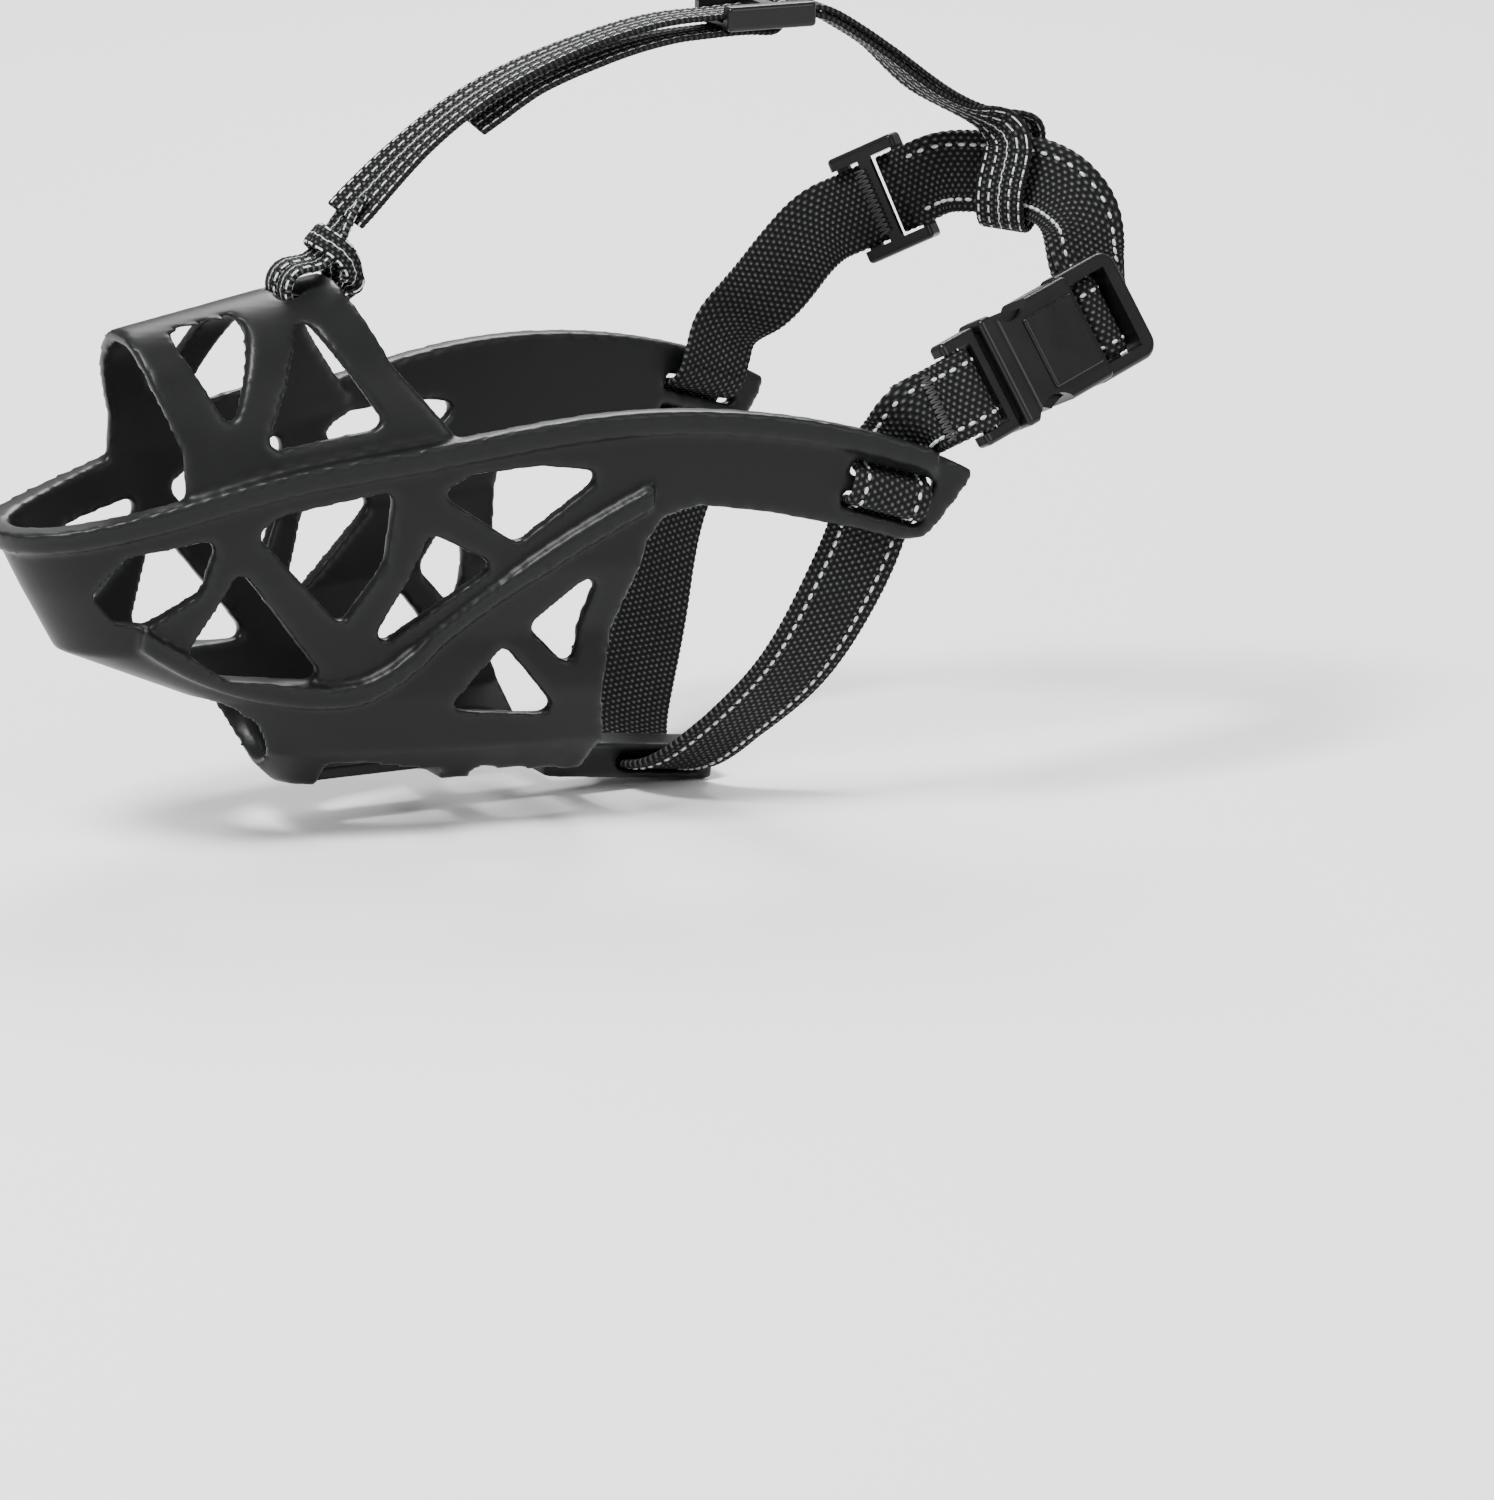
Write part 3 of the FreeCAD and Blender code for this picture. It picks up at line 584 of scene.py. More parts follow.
@dataclass
class Stitch:
    """One visible thread float: a low capsule, repeated along a band."""

    length: float
    width: float
    height: float

    def shape(self) -> tuple[np.ndarray, np.ndarray, np.ndarray]:
        """A capsule of three six-sided rings and two tips.

        Returns:
            Its points (along, across, out), its quads and its triangles.
        """
        angle = np.arange(6) * math.tau / 6.0
        ring = np.stack([np.zeros(6), np.cos(angle) * self.width / 2.0,
                         np.sin(angle) * self.height / 2.0], 1)
        rings = [ring * (1, s, s) + (x * self.length, 0, 0)
                 for x, s in ((-0.36, 0.72), (0.0, 1.0), (0.36, 0.72))]
        tips = np.array([[-self.length / 2.0, 0, 0], [self.length / 2.0, 0, 0]])
        index = np.arange(18).reshape(3, 6)
        after = np.roll(index, -1, axis=1)
        quads = np.stack([index[:-1], index[1:], after[1:], after[:-1]], -1).reshape(-1, 4)
        low = np.stack([np.full(6, 18), index[0], after[0]], 1)
        high = np.stack([after[2], index[2], np.full(6, 19)], 1)
        return np.concatenate(rings + [tips]), quads, np.concatenate([low, high])

    def sew(self, name: str, frames: Frames, across: np.ndarray, out: float,
            slant: np.ndarray | None = None) -> bpy.types.Object:
        """Repeats the float at each frame.

        Args:
            name: the object's name.
            frames: one place per float.
            across: how far each float lies across the band.
            out: how far they lie out of the band's middle.
            slant: the angle of each float from the band's direction.

        Returns:
            All the floats as one object.
        """
        points, quads, triangles = self.shape()
        slant = np.zeros(len(across)) if slant is None else slant
        cos, sin = np.cos(slant)[:, None, None], np.sin(slant)[:, None, None]
        along, wide = frames.along[:, None, :], frames.wide[:, None, :]
        ahead, aside = along * cos + wide * sin, wide * cos - along * sin
        middle = frames.centre + frames.wide * across[:, None] + frames.face * out
        placed = (middle[:, None, :] + points[None, :, 0:1] * ahead + points[None, :, 1:2] * aside
                  + points[None, :, 2:3] * frames.face[:, None, :] * math.copysign(1.0, out))
        shift = np.arange(len(across))[:, None, None] * len(points)
        if out < 0:
            quads, triangles = quads[:, ::-1], triangles[:, ::-1]
        return make_mesh(name, placed.reshape(-1, 3), [(quads + shift).reshape(-1, 4),
                                                       (triangles + shift).reshape(-1, 3)])


@dataclass
class ThreadRows:
    """Two rows of reflective thread along a band's outer face."""

    stitch: Stitch = field(default_factory=lambda: Stitch(1.55, 0.78, 0.55))
    pitch: float = 2.25
    place: float = 0.34

    def sew(self, name: str, band: Webbing, frames: Frames, side: float,
            start: float = 1.5, end: float = 1.5) -> bpy.types.Object:
        """Sews both rows on the side of the band that faces out, from start to end."""
        runs = np.arange(start, frames.run[-1] - end, self.pitch)
        both = np.concatenate([runs, runs + 0.4 * self.pitch])
        across = np.concatenate([np.full(len(runs), -self.place), np.full(len(runs), self.place)])
        return self.stitch.sew(name, frames.at(np.minimum(both, frames.run[-1])),
                               across * band.width, side * band.outside())


@dataclass
class BarTack:
    """A block of close zigzag stitches across a band."""

    length: float = 2.6
    pitch: float = 0.52

    def sew(self, name: str, band: Webbing, frames: Frames, run: float,
            out: float) -> bpy.types.Object:
        """Sews the block across the band at a run, that far out of the band's middle."""
        half = 0.41 * band.width
        across = np.arange(-half, half, self.pitch)
        slant = np.where(np.arange(len(across)) % 2 == 0, 0.16, -0.16)
        stitch = Stitch(self.length, 0.62, 0.55)
        return stitch.sew(name, frames.at(np.full(len(across), run)), across, out, slant)


# The object's own places, in millimetres

class Half(Enum):
    """The dog's left or right."""

    LEFT = 1.0
    RIGHT = -1.0

    def mirrored(self, rows: Any) -> np.ndarray:
        """Rows of the dog's left, on this half."""
        return np.array(rows, float) * (self.value, 1.0, 1.0)


@dataclass
class Ear:
    """The slotted ear at the end of an arm, and the webbing's way through it."""

    spacing: float = 91.0
    reach: float = 51.0
    height: float = 3.5
    wall: float = 2.6
    tilt: float = 17.7
    flare: float = 29.0 / 168.0
    inside: float = -4.45
    thread_end: float = 8.0

    def __post_init__(self) -> None:
        """Works out the ear's own directions on the dog's left."""
        turn, fall = math.atan(self.flare), math.radians(self.tilt)
        self.middle = np.array([(self.spacing - self.wall) / 2.0, self.reach, self.height])
        self.along = np.array([math.sin(turn) * math.cos(fall), math.cos(turn) * math.cos(fall),
                               -math.sin(fall)])
        self.out = np.array([math.cos(turn), -math.sin(turn), 0.0])
        self.up = np.cross(self.out, self.along)

    def point(self, out: float, up: float) -> np.ndarray:
        """A point in the ear's own directions, on the dog's left."""
        return self.middle + self.out * out + self.up * up

    def thread(self) -> np.ndarray:
        """The webbing's middle line: in at the top, over the bar outside, back in below."""
        path = [(self.inside, self.thread_end), (self.inside, 6.4), (-2.9, 3.9), (-1.5, 3.2),
                (1.7, 3.2), (3.3, 2.0), (3.3, -2.0), (1.7, -3.2), (-1.5, -3.2), (-2.9, -3.9),
                (self.inside, -6.4), (self.inside, -self.thread_end)]
        return eased(np.array([self.point(out, up) for out, up in path]), 30)


@dataclass
class BuckleFrame:
    """The buckle's place: a along it to the socket, b across it upwards, c out of it."""

    at: tuple[float, float, float] = (43.5, 68.0, 21.0)
    axis: tuple[float, float, float] = (-0.256, 0.926, 0.279)
    across: tuple[float, float, float] = (-0.318, -0.353, 0.88)

    def __post_init__(self) -> None:
        """Squares up the three directions."""
        self.a = unit(np.array(self.axis))
        self.c = unit(np.cross(self.a, np.array(self.across)))
        self.b = np.cross(self.c, self.a)

    def point(self, a: float, c: float, b: float = 0.0) -> np.ndarray:
        """A point in the buckle's own directions."""
        return np.array(self.at) + self.a * a + self.b * b + self.c * c


@dataclass
class NeckPath:
    """The neck loop's way from the far ear round the neck to the socket's recessed bar."""

    layer_gap: float = 2.5
    bar: float = 36.7

    def loop_point(self, x: float, y: float, z: float) -> np.ndarray:
        """A point that is given from the ears' centre line."""
        return np.array([x, 51.0 + y, 3.5 + z])

    def far(self) -> list[tuple[np.ndarray, tuple[float, float, float]]]:
        """Points and widths from the far ear to the slide."""
        rows = [((-36.0, 9.5, 21.0), (0.2, 0.8, -0.56)), ((-29.0, 16.2, 32.5), (0.5, 0.45, -0.7)),
                ((-24.0, 21.0, 39.0), (0.38, 0.28, -0.86)),
                ((-22.0, 23.0, 40.4), (0.38, 0.28, -0.86))]
        return [(self.loop_point(*p), w) for p, w in rows]

    def back(self) -> list[tuple[np.ndarray, tuple[float, float, float]]]:
        """Points and widths from the slide to the socket's end."""
        rows = [((-10.0, 35.0, 48.8), (0.38, 0.28, -0.86)),
                ((-8.0, 37.0, 50.2), (0.38, 0.28, -0.86)),
                ((-2.0, 43.0, 51.4), (0.1, 0.0, -0.99)), ((3.0, 48.0, 51.4), (0.0, -0.1, -0.99)),
                ((8.0, 52.0, 50.4), (-0.05, -0.3, -0.95)),
                ((13.5, 55.0, 47.2), (-0.1, -0.65, -0.75)),
                ((16.8, 55.8, 42.5), (0.0, -0.92, -0.35)),
                ((19.8, 55.2, 36.0), (-0.15, -0.85, 0.45))]
        return [(self.loop_point(*p), w) for p, w in rows]

    def slide(self) -> np.ndarray:
        """The middle of the neck slide."""
        return self.loop_point(-16.0, 29.0, 44.6)


# Sub-assemblies

@dataclass
class Cage:
    """The moulded cage: the CAD shell, remeshed so that its corners flow like a moulding."""

    voxel: float = 0.8
    smooth_turns: int = 4
    sharp_height: float = 0.06
    edge_turns: int = 2

    def build(self) -> bpy.types.Object:
        """Copies the shell, merges it, and lets a fine remesh and smoothing round its edges."""
        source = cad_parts["cage"]
        mesh = source.data.copy()
        mesh.name = "cage_moulding"
        work = bmesh.new()
        work.from_mesh(mesh)
        bmesh.ops.remove_doubles(work, verts=work.verts, dist=0.00001)
        bmesh.ops.recalc_face_normals(work, faces=work.faces)
        work.to_mesh(mesh)
        work.free()
        piece = bpy.data.objects.new("cage_moulding", mesh)
        bpy.context.scene.collection.objects.link(piece)
        remesh = piece.modifiers.new("moulded", "REMESH")
        remesh.mode = "VOXEL"
        remesh.voxel_size = self.voxel * MM
        smooth = piece.modifiers.new("fillets", "SMOOTH")
        smooth.factor = 0.5
        smooth.iterations = self.smooth_turns
        view = bpy.context.evaluated_depsgraph_get()
        final = bpy.data.meshes.new_from_object(piece.evaluated_get(view))
        piece.modifiers.clear()
        piece.data = final
        final.polygons.foreach_set("use_smooth", np.ones(len(final.polygons), bool))
        self.mark_edges(final)
        return piece

    def mark_edges(self, mesh: bpy.types.Mesh) -> None:
        """Writes the edge attribute: how far a vertex stands out of its neighbours' middle.

        The middle of the neighbours, taken away from the vertex and measured along its normal,
        is largest on outer edges, and is spread over the neighbours a few times.
        """
        count = len(mesh.vertices)
        place = np.zeros(count * 3, np.float32)
        normal = np.zeros(count * 3, np.float32)
        ends = np.zeros(len(mesh.edges) * 2, np.int32)
        mesh.vertices.foreach_get("co", place)
        mesh.vertices.foreach_get("normal", normal)
        mesh.edges.foreach_get("vertices", ends)
        place, normal = place.reshape(-1, 3), normal.reshape(-1, 3)
        one, two = ends.reshape(-1, 2).T
        number = np.bincount(ends, minlength=count)[:, None]
        near = np.stack([np.bincount(one, place[two, k], count) + np.bincount(two, place[one, k],
                         count) for k in range(3)], 1) / number
        height = np.sum((place - near) * normal, axis=1)
        edge = np.clip(height / (self.sharp_height * MM), 0.0, 1.0)
        for _ in range(self.edge_turns):
            edge = 0.5 * edge + 0.5 * (np.bincount(one, edge[two], count)
                                       + np.bincount(two, edge[one], count)) / number[:, 0]
        mesh.attributes.new("edge", "FLOAT", "POINT").data.foreach_set(
            "value", edge.astype(np.float32))

    def dress(self, piece: bpy.types.Object, rubber: bpy.types.Material) -> None:
        """Puts the rubber on the cage and seats it on the basket."""
        finish_piece(piece, rubber, "cage_rubber", "cage")
        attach(piece, "basket")


@dataclass
class Fabrics:
    """The materials that the straps share."""

    webbing: bpy.types.Material
    head: bpy.types.Material
    silver: bpy.types.Material
    tack: bpy.types.Material


@dataclass
class NeckWebbing:
    """The 16 mm webbing: under the throat, through both ears, and round the neck."""

    fabrics: Fabrics
    ear: Ear = field(default_factory=Ear)
    buckle: BuckleFrame = field(default_factory=BuckleFrame)
    path: NeckPath = field(default_factory=NeckPath)
    band: Webbing = field(default_factory=lambda: Webbing(16.0, 1.5, 1.4))
    threads: ThreadRows = field(default_factory=ThreadRows)
    tack: BarTack = field(default_factory=BarTack)
    step: float = 0.35
    chin: float = 52.0
    keeper: float = 21.0
    keeper_fall: float = 7.0

    def blend_ear(self, piece: bpy.types.Object, half: Half) -> None:
        """Bakes a piece's transform into its mesh, after working out two points just above an ear.
        """
        low = half.mirrored(self.ear.point(self.ear.inside, 6.0))
        high = half.mirrored(self.ear.point(self.ear.inside, 20.0))
        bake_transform(piece)

    def on_keeper(self, x: float, y: float, z: float) -> np.ndarray:
        """A point given from the bottom of the chin, on the sloping keeper."""
        fall = math.radians(self.keeper_fall)
        return np.array([x, y * math.cos(fall) + z * math.sin(fall),
                         -self.chin - y * math.sin(fall) + z * math.cos(fall)])

    def throat(self) -> None:
        """From one ear's inside, over its bar, under the chin, and out through the other ear."""
        flat = self.on_keeper(0.0, 1.0, 0.0) - self.on_keeper(0.0, 0.0, 0.0)
        start = self.ear.point(self.ear.inside, -self.ear.thread_end)
        down = [(start + np.array([-1.0, -5.5, -12.5]), (0.14, 0.97, -0.2)),
                ((32.0, 36.5, -33.0), (0.08, 0.99, -0.1)), ((22.0, 28.0, -46.0), (0.03, 1, 0)),
                (self.on_keeper(13.0, self.keeper + 1.5, 0.9), flat),
                (self.on_keeper(7.0, self.keeper, -1.5), flat)]
        line = Line().join(self.ear.thread(), self.ear.along)
        for point, width in down:
            line.add(point, width)
        for point, width in reversed(down):
            line.add(Half.RIGHT.mirrored(point), Half.LEFT.mirrored(width) * (-1, 1, 1))
        line.join(Half.RIGHT.mirrored(self.ear.thread()[::-1]),
                  Half.RIGHT.mirrored(self.ear.along))
        frames = line.frames(self.step)
        strap = self.band.weave("throat_webbing", frames)
        finish_piece(strap, self.fabrics.webbing, "webbing", "throat_strap")
        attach(strap, "basket")
        rows = self.threads.sew("throat_threads", self.band, frames, 1.0)
        finish_piece(rows, self.fabrics.silver, "reflective_thread", "stitch_throat")
        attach(rows, "basket")

    def near(self) -> None:
        """From the near ear up to the buckle's strap bar, round it, and sewn back on itself."""
        down = -self.buckle.b
        line = Line().add(self.ear.point(self.ear.inside, 6.8), self.ear.along)
        line.add(self.ear.point(self.ear.inside - 0.4, 9.8) + self.ear.along * 1.2,
                 self.ear.along * 0.85 + down * 0.3)
        line.add(self.buckle.point(-9.5, -3.6), self.ear.along * 0.4 + down * 0.75)
        for a, c in ((-4.2, -1.2), (-0.6, 1.7), (1.6, 2.35), (3.5, 1.4), (4.0, 0.0), (3.5, -1.4),
                     (1.6, -2.35), (-1.2, -2.3), (-4.6, -3.3), (-7.9, -4.9), (-10.5, -6.5)):
            line.add(self.buckle.point(a, c), down)
        frames = line.frames(self.step)
        strap = self.band.weave("near_webbing", frames)
        finish_piece(strap, self.fabrics.webbing, "webbing", "neck_strap_left")
        self.blend_ear(strap, Half.LEFT)
        turn = frames.nearest(self.buckle.point(4.0, 0.0))
        rows = self.threads.sew("near_threads", self.band, frames, -1.0, 1.5,
                                frames.run[-1] - turn)
        finish_piece(rows, self.fabrics.silver, "reflective_thread", "stitch_neck_left")
        self.blend_ear(rows, Half.LEFT)
        run = frames.nearest(self.buckle.point(-5.6, -2.0))
        block = self.tack.sew("near_tack", self.band, frames, run, -self.band.outside() - 0.2)
        finish_piece(block, self.fabrics.tack, "tack_thread", "tack_male_loop")
        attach(block, "neck_loop")

    def far(self) -> None:
        """From the far ear up to the neck slide, where it is sewn round the slide's bar."""
        thread = [Half.RIGHT.mirrored(self.ear.point(self.ear.inside, up))
                  for up in (7.6, 9.5, 11.5, 14.5)]
        line = Line().join(thread, Half.RIGHT.mirrored(self.ear.along))
        for point, width in self.path.far():
            line.add(point, width)
        line.add(self.path.slide(), (0.38, 0.28, -0.86))
        frames = line.frames(self.step)
        strap = self.band.weave("far_webbing", frames)
        finish_piece(strap, self.fabrics.webbing, "webbing", "neck_strap_right")
        self.blend_ear(strap, Half.RIGHT)
        rows = self.threads.sew("far_threads", self.band, frames, 1.0, 1.5, 8.0)
        finish_piece(rows, self.fabrics.silver, "reflective_thread", "stitch_neck_right")
        self.blend_ear(rows, Half.RIGHT)
        run = frames.run[-1] - 1.0
        block = self.tack.sew("neck_slide_tack", self.band, frames, run, -3.2)
        finish_piece(block, self.fabrics.tack, "tack_thread", "tack_neck_slide")
        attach(block, "neck_slide")

    def back_line(self) -> Line:
        """From the slide to the socket, over its recessed bar, and back as a second layer."""
        rows = self.path.back()
        points = np.array([p for p, _ in rows])
        widths = unit(np.array([w for _, w in rows], float))
        ahead = unit(np.gradient(points, axis=0))
        face = unit(np.cross(ahead, widths))
        second = points - face * self.path.layer_gap
        slide = self.path.slide()
        line = Line().add(slide + ahead[0] * 1.5, widths[0])
        for point, width in zip(points, widths):
            line.add(point, width)
        bar = self.path.bar
        for a, c, b in ((7.0, -8.6, 4.0), (1.5, -6.4, 0.6), (-2.2, -4.4, 0.0), (-2.7, -1.6, 0.0),
                        (-1.9, 0.5, 0.0), (0.0, 0.95, 0.0), (1.9, 0.5, 0.0), (2.8, -1.6, 0.0),
                        (4.4, -4.0, 0.6), (8.4, -6.0, 4.6)):
            line.add(self.buckle.point(bar + a, c, b), self.buckle.b)
        for point, width in zip(second[::-1], widths[::-1]):
            line.add(point, width)
        line.add(slide + ahead[0] * 5.0 - face[0] * 1.9, widths[0])
        return line

    def blend_socket(self, piece: bpy.types.Object) -> None:
        """Bakes a piece's transform into its mesh, after working out two points between the neck
        loop and the socket.
        """
        start = self.path.loop_point(8.0, 52.0, 50.4)
        end = self.buckle.point(43.0, -5.0)
        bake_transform(piece)

    def back(self) -> None:
        """The adjustable webbing between the slide and the socket."""
        frames = self.back_line().frames(self.step)
        strap = self.band.weave("back_webbing", frames)
        finish_piece(strap, self.fabrics.webbing, "webbing", "neck_strap_return",
                     "neck_strap_turn")
        self.blend_socket(strap)
        rows = self.threads.sew("back_threads", self.band, frames, 1.0, 9.0, 4.0)
        finish_piece(rows, self.fabrics.silver, "reflective_thread", "stitch_neck_return")
        self.blend_socket(rows)

    def build(self) -> None:
        """Makes the four runs of webbing with their threads."""
        self.throat()
        self.near()
        self.far()
        self.back()


@dataclass
class HeadWebbing:
    """The 10 mm webbing: hitched to the crown, up to its slide, and down to the neck loop."""

    fabrics: Fabrics
    path: NeckPath = field(default_factory=NeckPath)
    band: Webbing = field(default_factory=lambda: Webbing(10.0, 1.2, 1.2, 0.07, 0.2, 14))
    folded: Webbing = field(default_factory=lambda: Webbing(5.0, 1.7, 1.2, 0.09, 0.2, 8))
    tack: BarTack = field(default_factory=lambda: BarTack(2.4, 0.48))
    step: float = 0.3
    half_gap: float = 0.75
    tack_off: float = 0.2

    def front(self) -> None:
        """From the hitch up to the slide, round its middle bar, and back as the free tail."""
        flat = (1.0, 0.0, 0.0)
        line = Line().add((0, -43.2, 58.0), (0.85, 0.35, -0.35))
        line.add((0, -40.5, 60.5), (0.85, 0.35, -0.35)).add((0, -29, 70.5), (0.95, 0.2, -0.2))
        line.add((0, -12, 81), (0.99, 0.08, -0.1))
        line.join([(0, 8, 88), (0, 27, 91.2), (0, 36, 91.3), (0, 45.2, 91.2), (0, 47.6, 90.2),
                   (0, 47.2, 88.4), (0, 43, 87.7), (0, 34, 87.9), (0, 26, 87.6)], flat)
        line.join([(0, 8, 84.6), (0, -4, 80.6)], (0.97, 0.1, -0.15))
        line.join([(0, -12, 76.9), (0, -17, 74.0)], (0.93, 0.25, -0.3))
        frames = line.frames(self.step)
        strap = self.band.weave("head_front_webbing", frames)
        finish_piece(strap, self.fabrics.head, "head_webbing", "head_strap_front",
                     "head_strap_tail")
        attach(strap, "basket")
        run = frames.nearest((0, -36.0, 64.5))
        block = self.tack.sew("head_eye_tack", self.band, frames, run,
                              self.band.outside() + self.tack_off)
        finish_piece(block, self.fabrics.tack, "tack_thread", "tack_head_eye")
        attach(block, "basket")

    def hitch(self) -> None:
        """The girth hitch: two wraps round the crown's bar and a collar over both strands."""
        pull = np.array([0.1, 0.66, 0.75])
        wide = np.array([1.0, 0.0, 0.0])
        half = [((-1.3, -39.2, 61.7), (0.75, 0.45, -0.5)), ((-1.6, -43.0, 57.0), (0.9, 0.3, -0.3)),
                ((-2.4, -46.6, 52.6), wide), ((-2.8, -50.4, 49.6), wide),
                ((-2.9, -54.6, 49.0), wide), ((-2.9, -57.0, 46.4), wide),
                ((-2.9, -56.6, 43.2), wide), ((-3.0, -53.0, 41.6), wide),
                ((-3.1, -47.8, 41.7), wide), ((-3.6, -44.6, 43.8), (0.9, 0.3, 0.2)),
                ((-5.3, -44.0, 48.0), (0.4, 0.8, 0.2)), ((-5.2, -46.4, 52.4), (0.1, 0.8, 0.5)),
                ((-2.8, -48.6, 54.3), pull)]
        line = Line()
        for point, width in half:
            line.add(point, width)
        line.add((0.0, -49.0, 54.8), (0.0, 0.66, 0.75))
        for point, width in reversed(half):
            mirrored = Half.RIGHT.mirrored(point)
            line.add(mirrored, Half.RIGHT.mirrored(width) * -1.0 if abs(width[0]) > 0.5
                     else Half.RIGHT.mirrored(width))
        frames = line.frames(self.step)
        knot = self.folded.weave("head_hitch_knot", frames)
        finish_piece(knot, self.fabrics.head, "head_webbing", "head_hitch")
        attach(knot, "basket")

    def rear_line(self) -> Line:
        """Two layers from the slide down to a loop round both layers of the neck webbing."""
        ring = self.path.loop_point(3.0, 48.0, 51.4)
        side = unit(np.array([0.0, -0.1, -0.99]))
        along = unit(np.array([10.0, 9.0, -1.0]))
        face = unit(np.cross(along, side))
        rows = [((0, 62.5, 87.6), (1, 0, 0)), ((0, 70, 82.5), (0.98, 0.1, -0.1)),
                ((0, 80, 74), (0.95, 0.25, 0)), (ring + (-1, -8, 13), (0.9, 0.4, 0))]
        points = np.array([np.array(p, float) for p, _ in rows])
        widths = np.array([w for _, w in rows], float)
        normal = unit(np.cross(unit(np.gradient(points, axis=0)), unit(widths)))
        normal = normal * np.sign(normal[:, 2:3])
        top, low = points + normal * self.half_gap, points - normal * self.half_gap
        line = Line().join([(0, 49.6, 91.5), (0, 56.5, 91.4)], (1, 0, 0))
        for point, width in zip(top, widths):
            line.add(point, width)
        for s, f in ((-10.4, 0.6), (-7.5, 2.9), (0.0, 3.2), (7.5, 2.8), (10.2, 0.4), (10.2, -3.2),
                     (7.5, -5.5), (0.0, -5.9), (-7.5, -5.6)):
            line.add(ring + side * s + face * f, along)
        for point, width in zip(low[::-1], widths[::-1]):
            line.add(point, width)
        return line.join([(0, 56.0, 90.0), (0, 49.6, 90.1)], (1, 0, 0))

    def rear(self) -> None:
        """The rear run, baked in place, with its tack seated on the head slide."""
        frames = self.rear_line().frames(self.step)
        strap = self.band.weave("head_rear_webbing", frames)
        finish_piece(strap, self.fabrics.head, "head_webbing", "head_strap_rear", "head_loop")
        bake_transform(strap)
        block = self.tack.sew("head_slide_tack", self.band, frames, 5.2, -2.6)
        finish_piece(block, self.fabrics.tack, "tack_thread", "tack_head_slide")
        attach(block, "head_slide")

    def build(self) -> None:
        """Makes the hitch, the front run with its tail, and the rear run."""
        self.front()
        self.hitch()
        self.rear()


@dataclass
class Hardware:
    """The buckle and the two slides, which keep their CAD shapes."""

    nodes: tuple[str, ...] = ("buckle_socket", "buckle_frame", "buckle_prong_upper",
                              "buckle_prong_lower", "neck_slide", "head_slide")

    def dress(self, plastic: bpy.types.Material) -> None:
        """Puts the plastic on every moulded fitting."""
        for name in self.nodes:
            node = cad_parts[name]
            node.data.materials.clear()
            node.data.materials.append(plastic)
            log.info("%s: dressed", name)


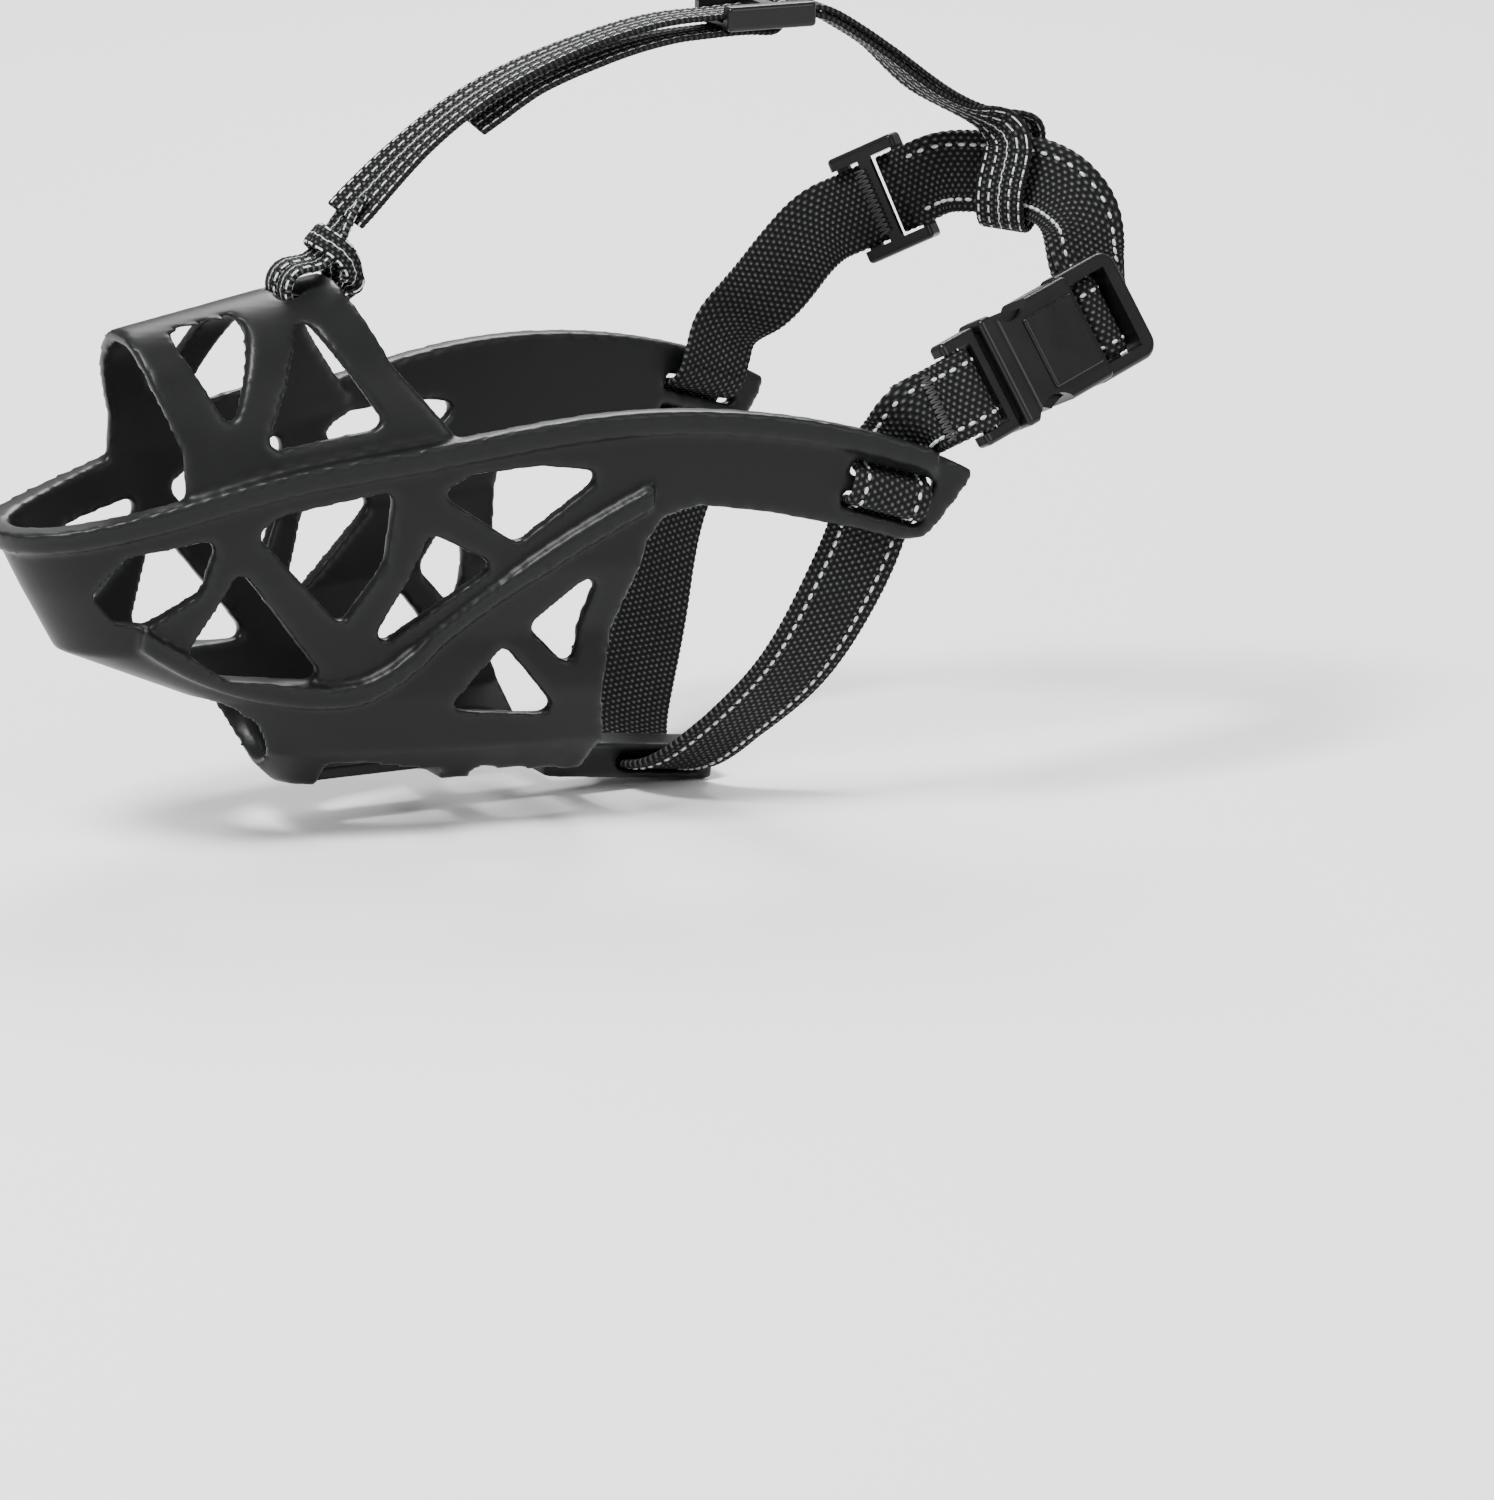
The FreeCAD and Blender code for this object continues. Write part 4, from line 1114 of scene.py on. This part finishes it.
@dataclass
class Studio:
    """A pale floor, soft light and the camera."""

    height: float = 292.4
    distance: float = 2.0
    right: tuple[float, float, float] = (0.4305, 0.9026, 0.0)
    up: tuple[float, float, float] = (-0.2245, 0.107, 0.9686)
    lamps: tuple[Any, ...] = (("key", (0.25, -0.75, 1.35), 0.45, 52.0),
                              ("fill", (1.3, 0.5, 0.8), 0.9, 12.0),
                              ("rim", (-0.9, 0.5, 0.9), 0.6, 20.0))
    sky_strength: float = 0.45
    floor_half: float = 3000.0
    shift: tuple[float, float] = (38.2, -50.9)

    def floor(self, level: float) -> None:
        """A wide square just under the part."""
        half = self.floor_half
        corners = np.array([[-half, -half, level], [half, -half, level], [half, half, level],
                            [-half, half, level]])
        piece = make_mesh("studio_floor", corners, [np.array([[0, 1, 2, 3]])])
        piece.data.materials.append(PaleFloor().make())
        piece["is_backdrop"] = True

    def light(self, name: str, place: Sequence[float], size: float, power: float) -> None:
        """A square soft light that looks at the part."""
        lamp = bpy.data.lights.new(name, "AREA")
        lamp.size = size
        lamp.energy = power
        made = bpy.data.objects.new(name, lamp)
        bpy.context.scene.collection.objects.link(made)
        made.location = place
        aim = Vector((0.0, 0.0, 0.01)) - Vector(place)
        made.rotation_euler = aim.to_track_quat("-Z", "Y").to_euler()

    def camera(self) -> None:
        """A long lens that frames the part in the upper left."""
        right, up = unit(np.array(self.right)), unit(np.array(self.up))
        back = np.cross(right, up)
        centre = (self.shift[0] * right + self.shift[1] * up) * MM
        place = centre + back * self.distance
        lens = bpy.data.cameras.new("camera")
        lens.sensor_width = 36.0
        lens.lens = 36.0 * self.distance / (self.height * MM)
        lens.clip_end = 50.0
        made = bpy.data.objects.new("camera", lens)
        bpy.context.scene.collection.objects.link(made)
        turn = np.eye(4)
        turn[:3, 0], turn[:3, 1], turn[:3, 2], turn[:3, 3] = right, up, back, place
        made.matrix_world = Matrix(turn.tolist())
        bpy.context.scene.camera = made

    def build(self, level: float) -> None:
        """Sets up the floor, three lights, the sky and the camera."""
        self.floor(level)
        for name, place, size, power in self.lamps:
            self.light(name, place, size, power)
        world = bpy.data.worlds.new("soft_sky")
        world.use_nodes = True
        sky = world.node_tree.nodes["Background"]
        sky.inputs["Color"].default_value = (1.0, 1.0, 1.0, 1.0)
        sky.inputs["Strength"].default_value = self.sky_strength
        bpy.context.scene.world = world
        self.camera()


def as_rows(corners: Sequence[Any]) -> list[list[float]]:
    """A box's corners as plain lists."""
    return [[float(x) for x in corner] for corner in corners]


def main() -> None:
    """Builds the muzzle in order, then the studio."""
    logging.basicConfig(level=logging.INFO, format="%(message)s")
    cad_box = as_rows(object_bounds())
    cage = Cage()
    cage.dress(cage.build(), MouldedRubber().make())
    fabrics = Fabrics(
        webbing=Weave("webbing", 1.4, 1.05).make(),
        head=Weave("head_webbing", 1.2, 0.95, yarn_pitch=2.1, yarn_reach=4.4).make(),
        silver=SilverThread().make(), tack=TackThread().make())
    NeckWebbing(fabrics).build()
    HeadWebbing(fabrics).build()
    Hardware().dress(BlackAcetal().make())
    Studio().build(cad_box[0][2] / MM - 0.05)


if __name__ == "__main__":
    main()
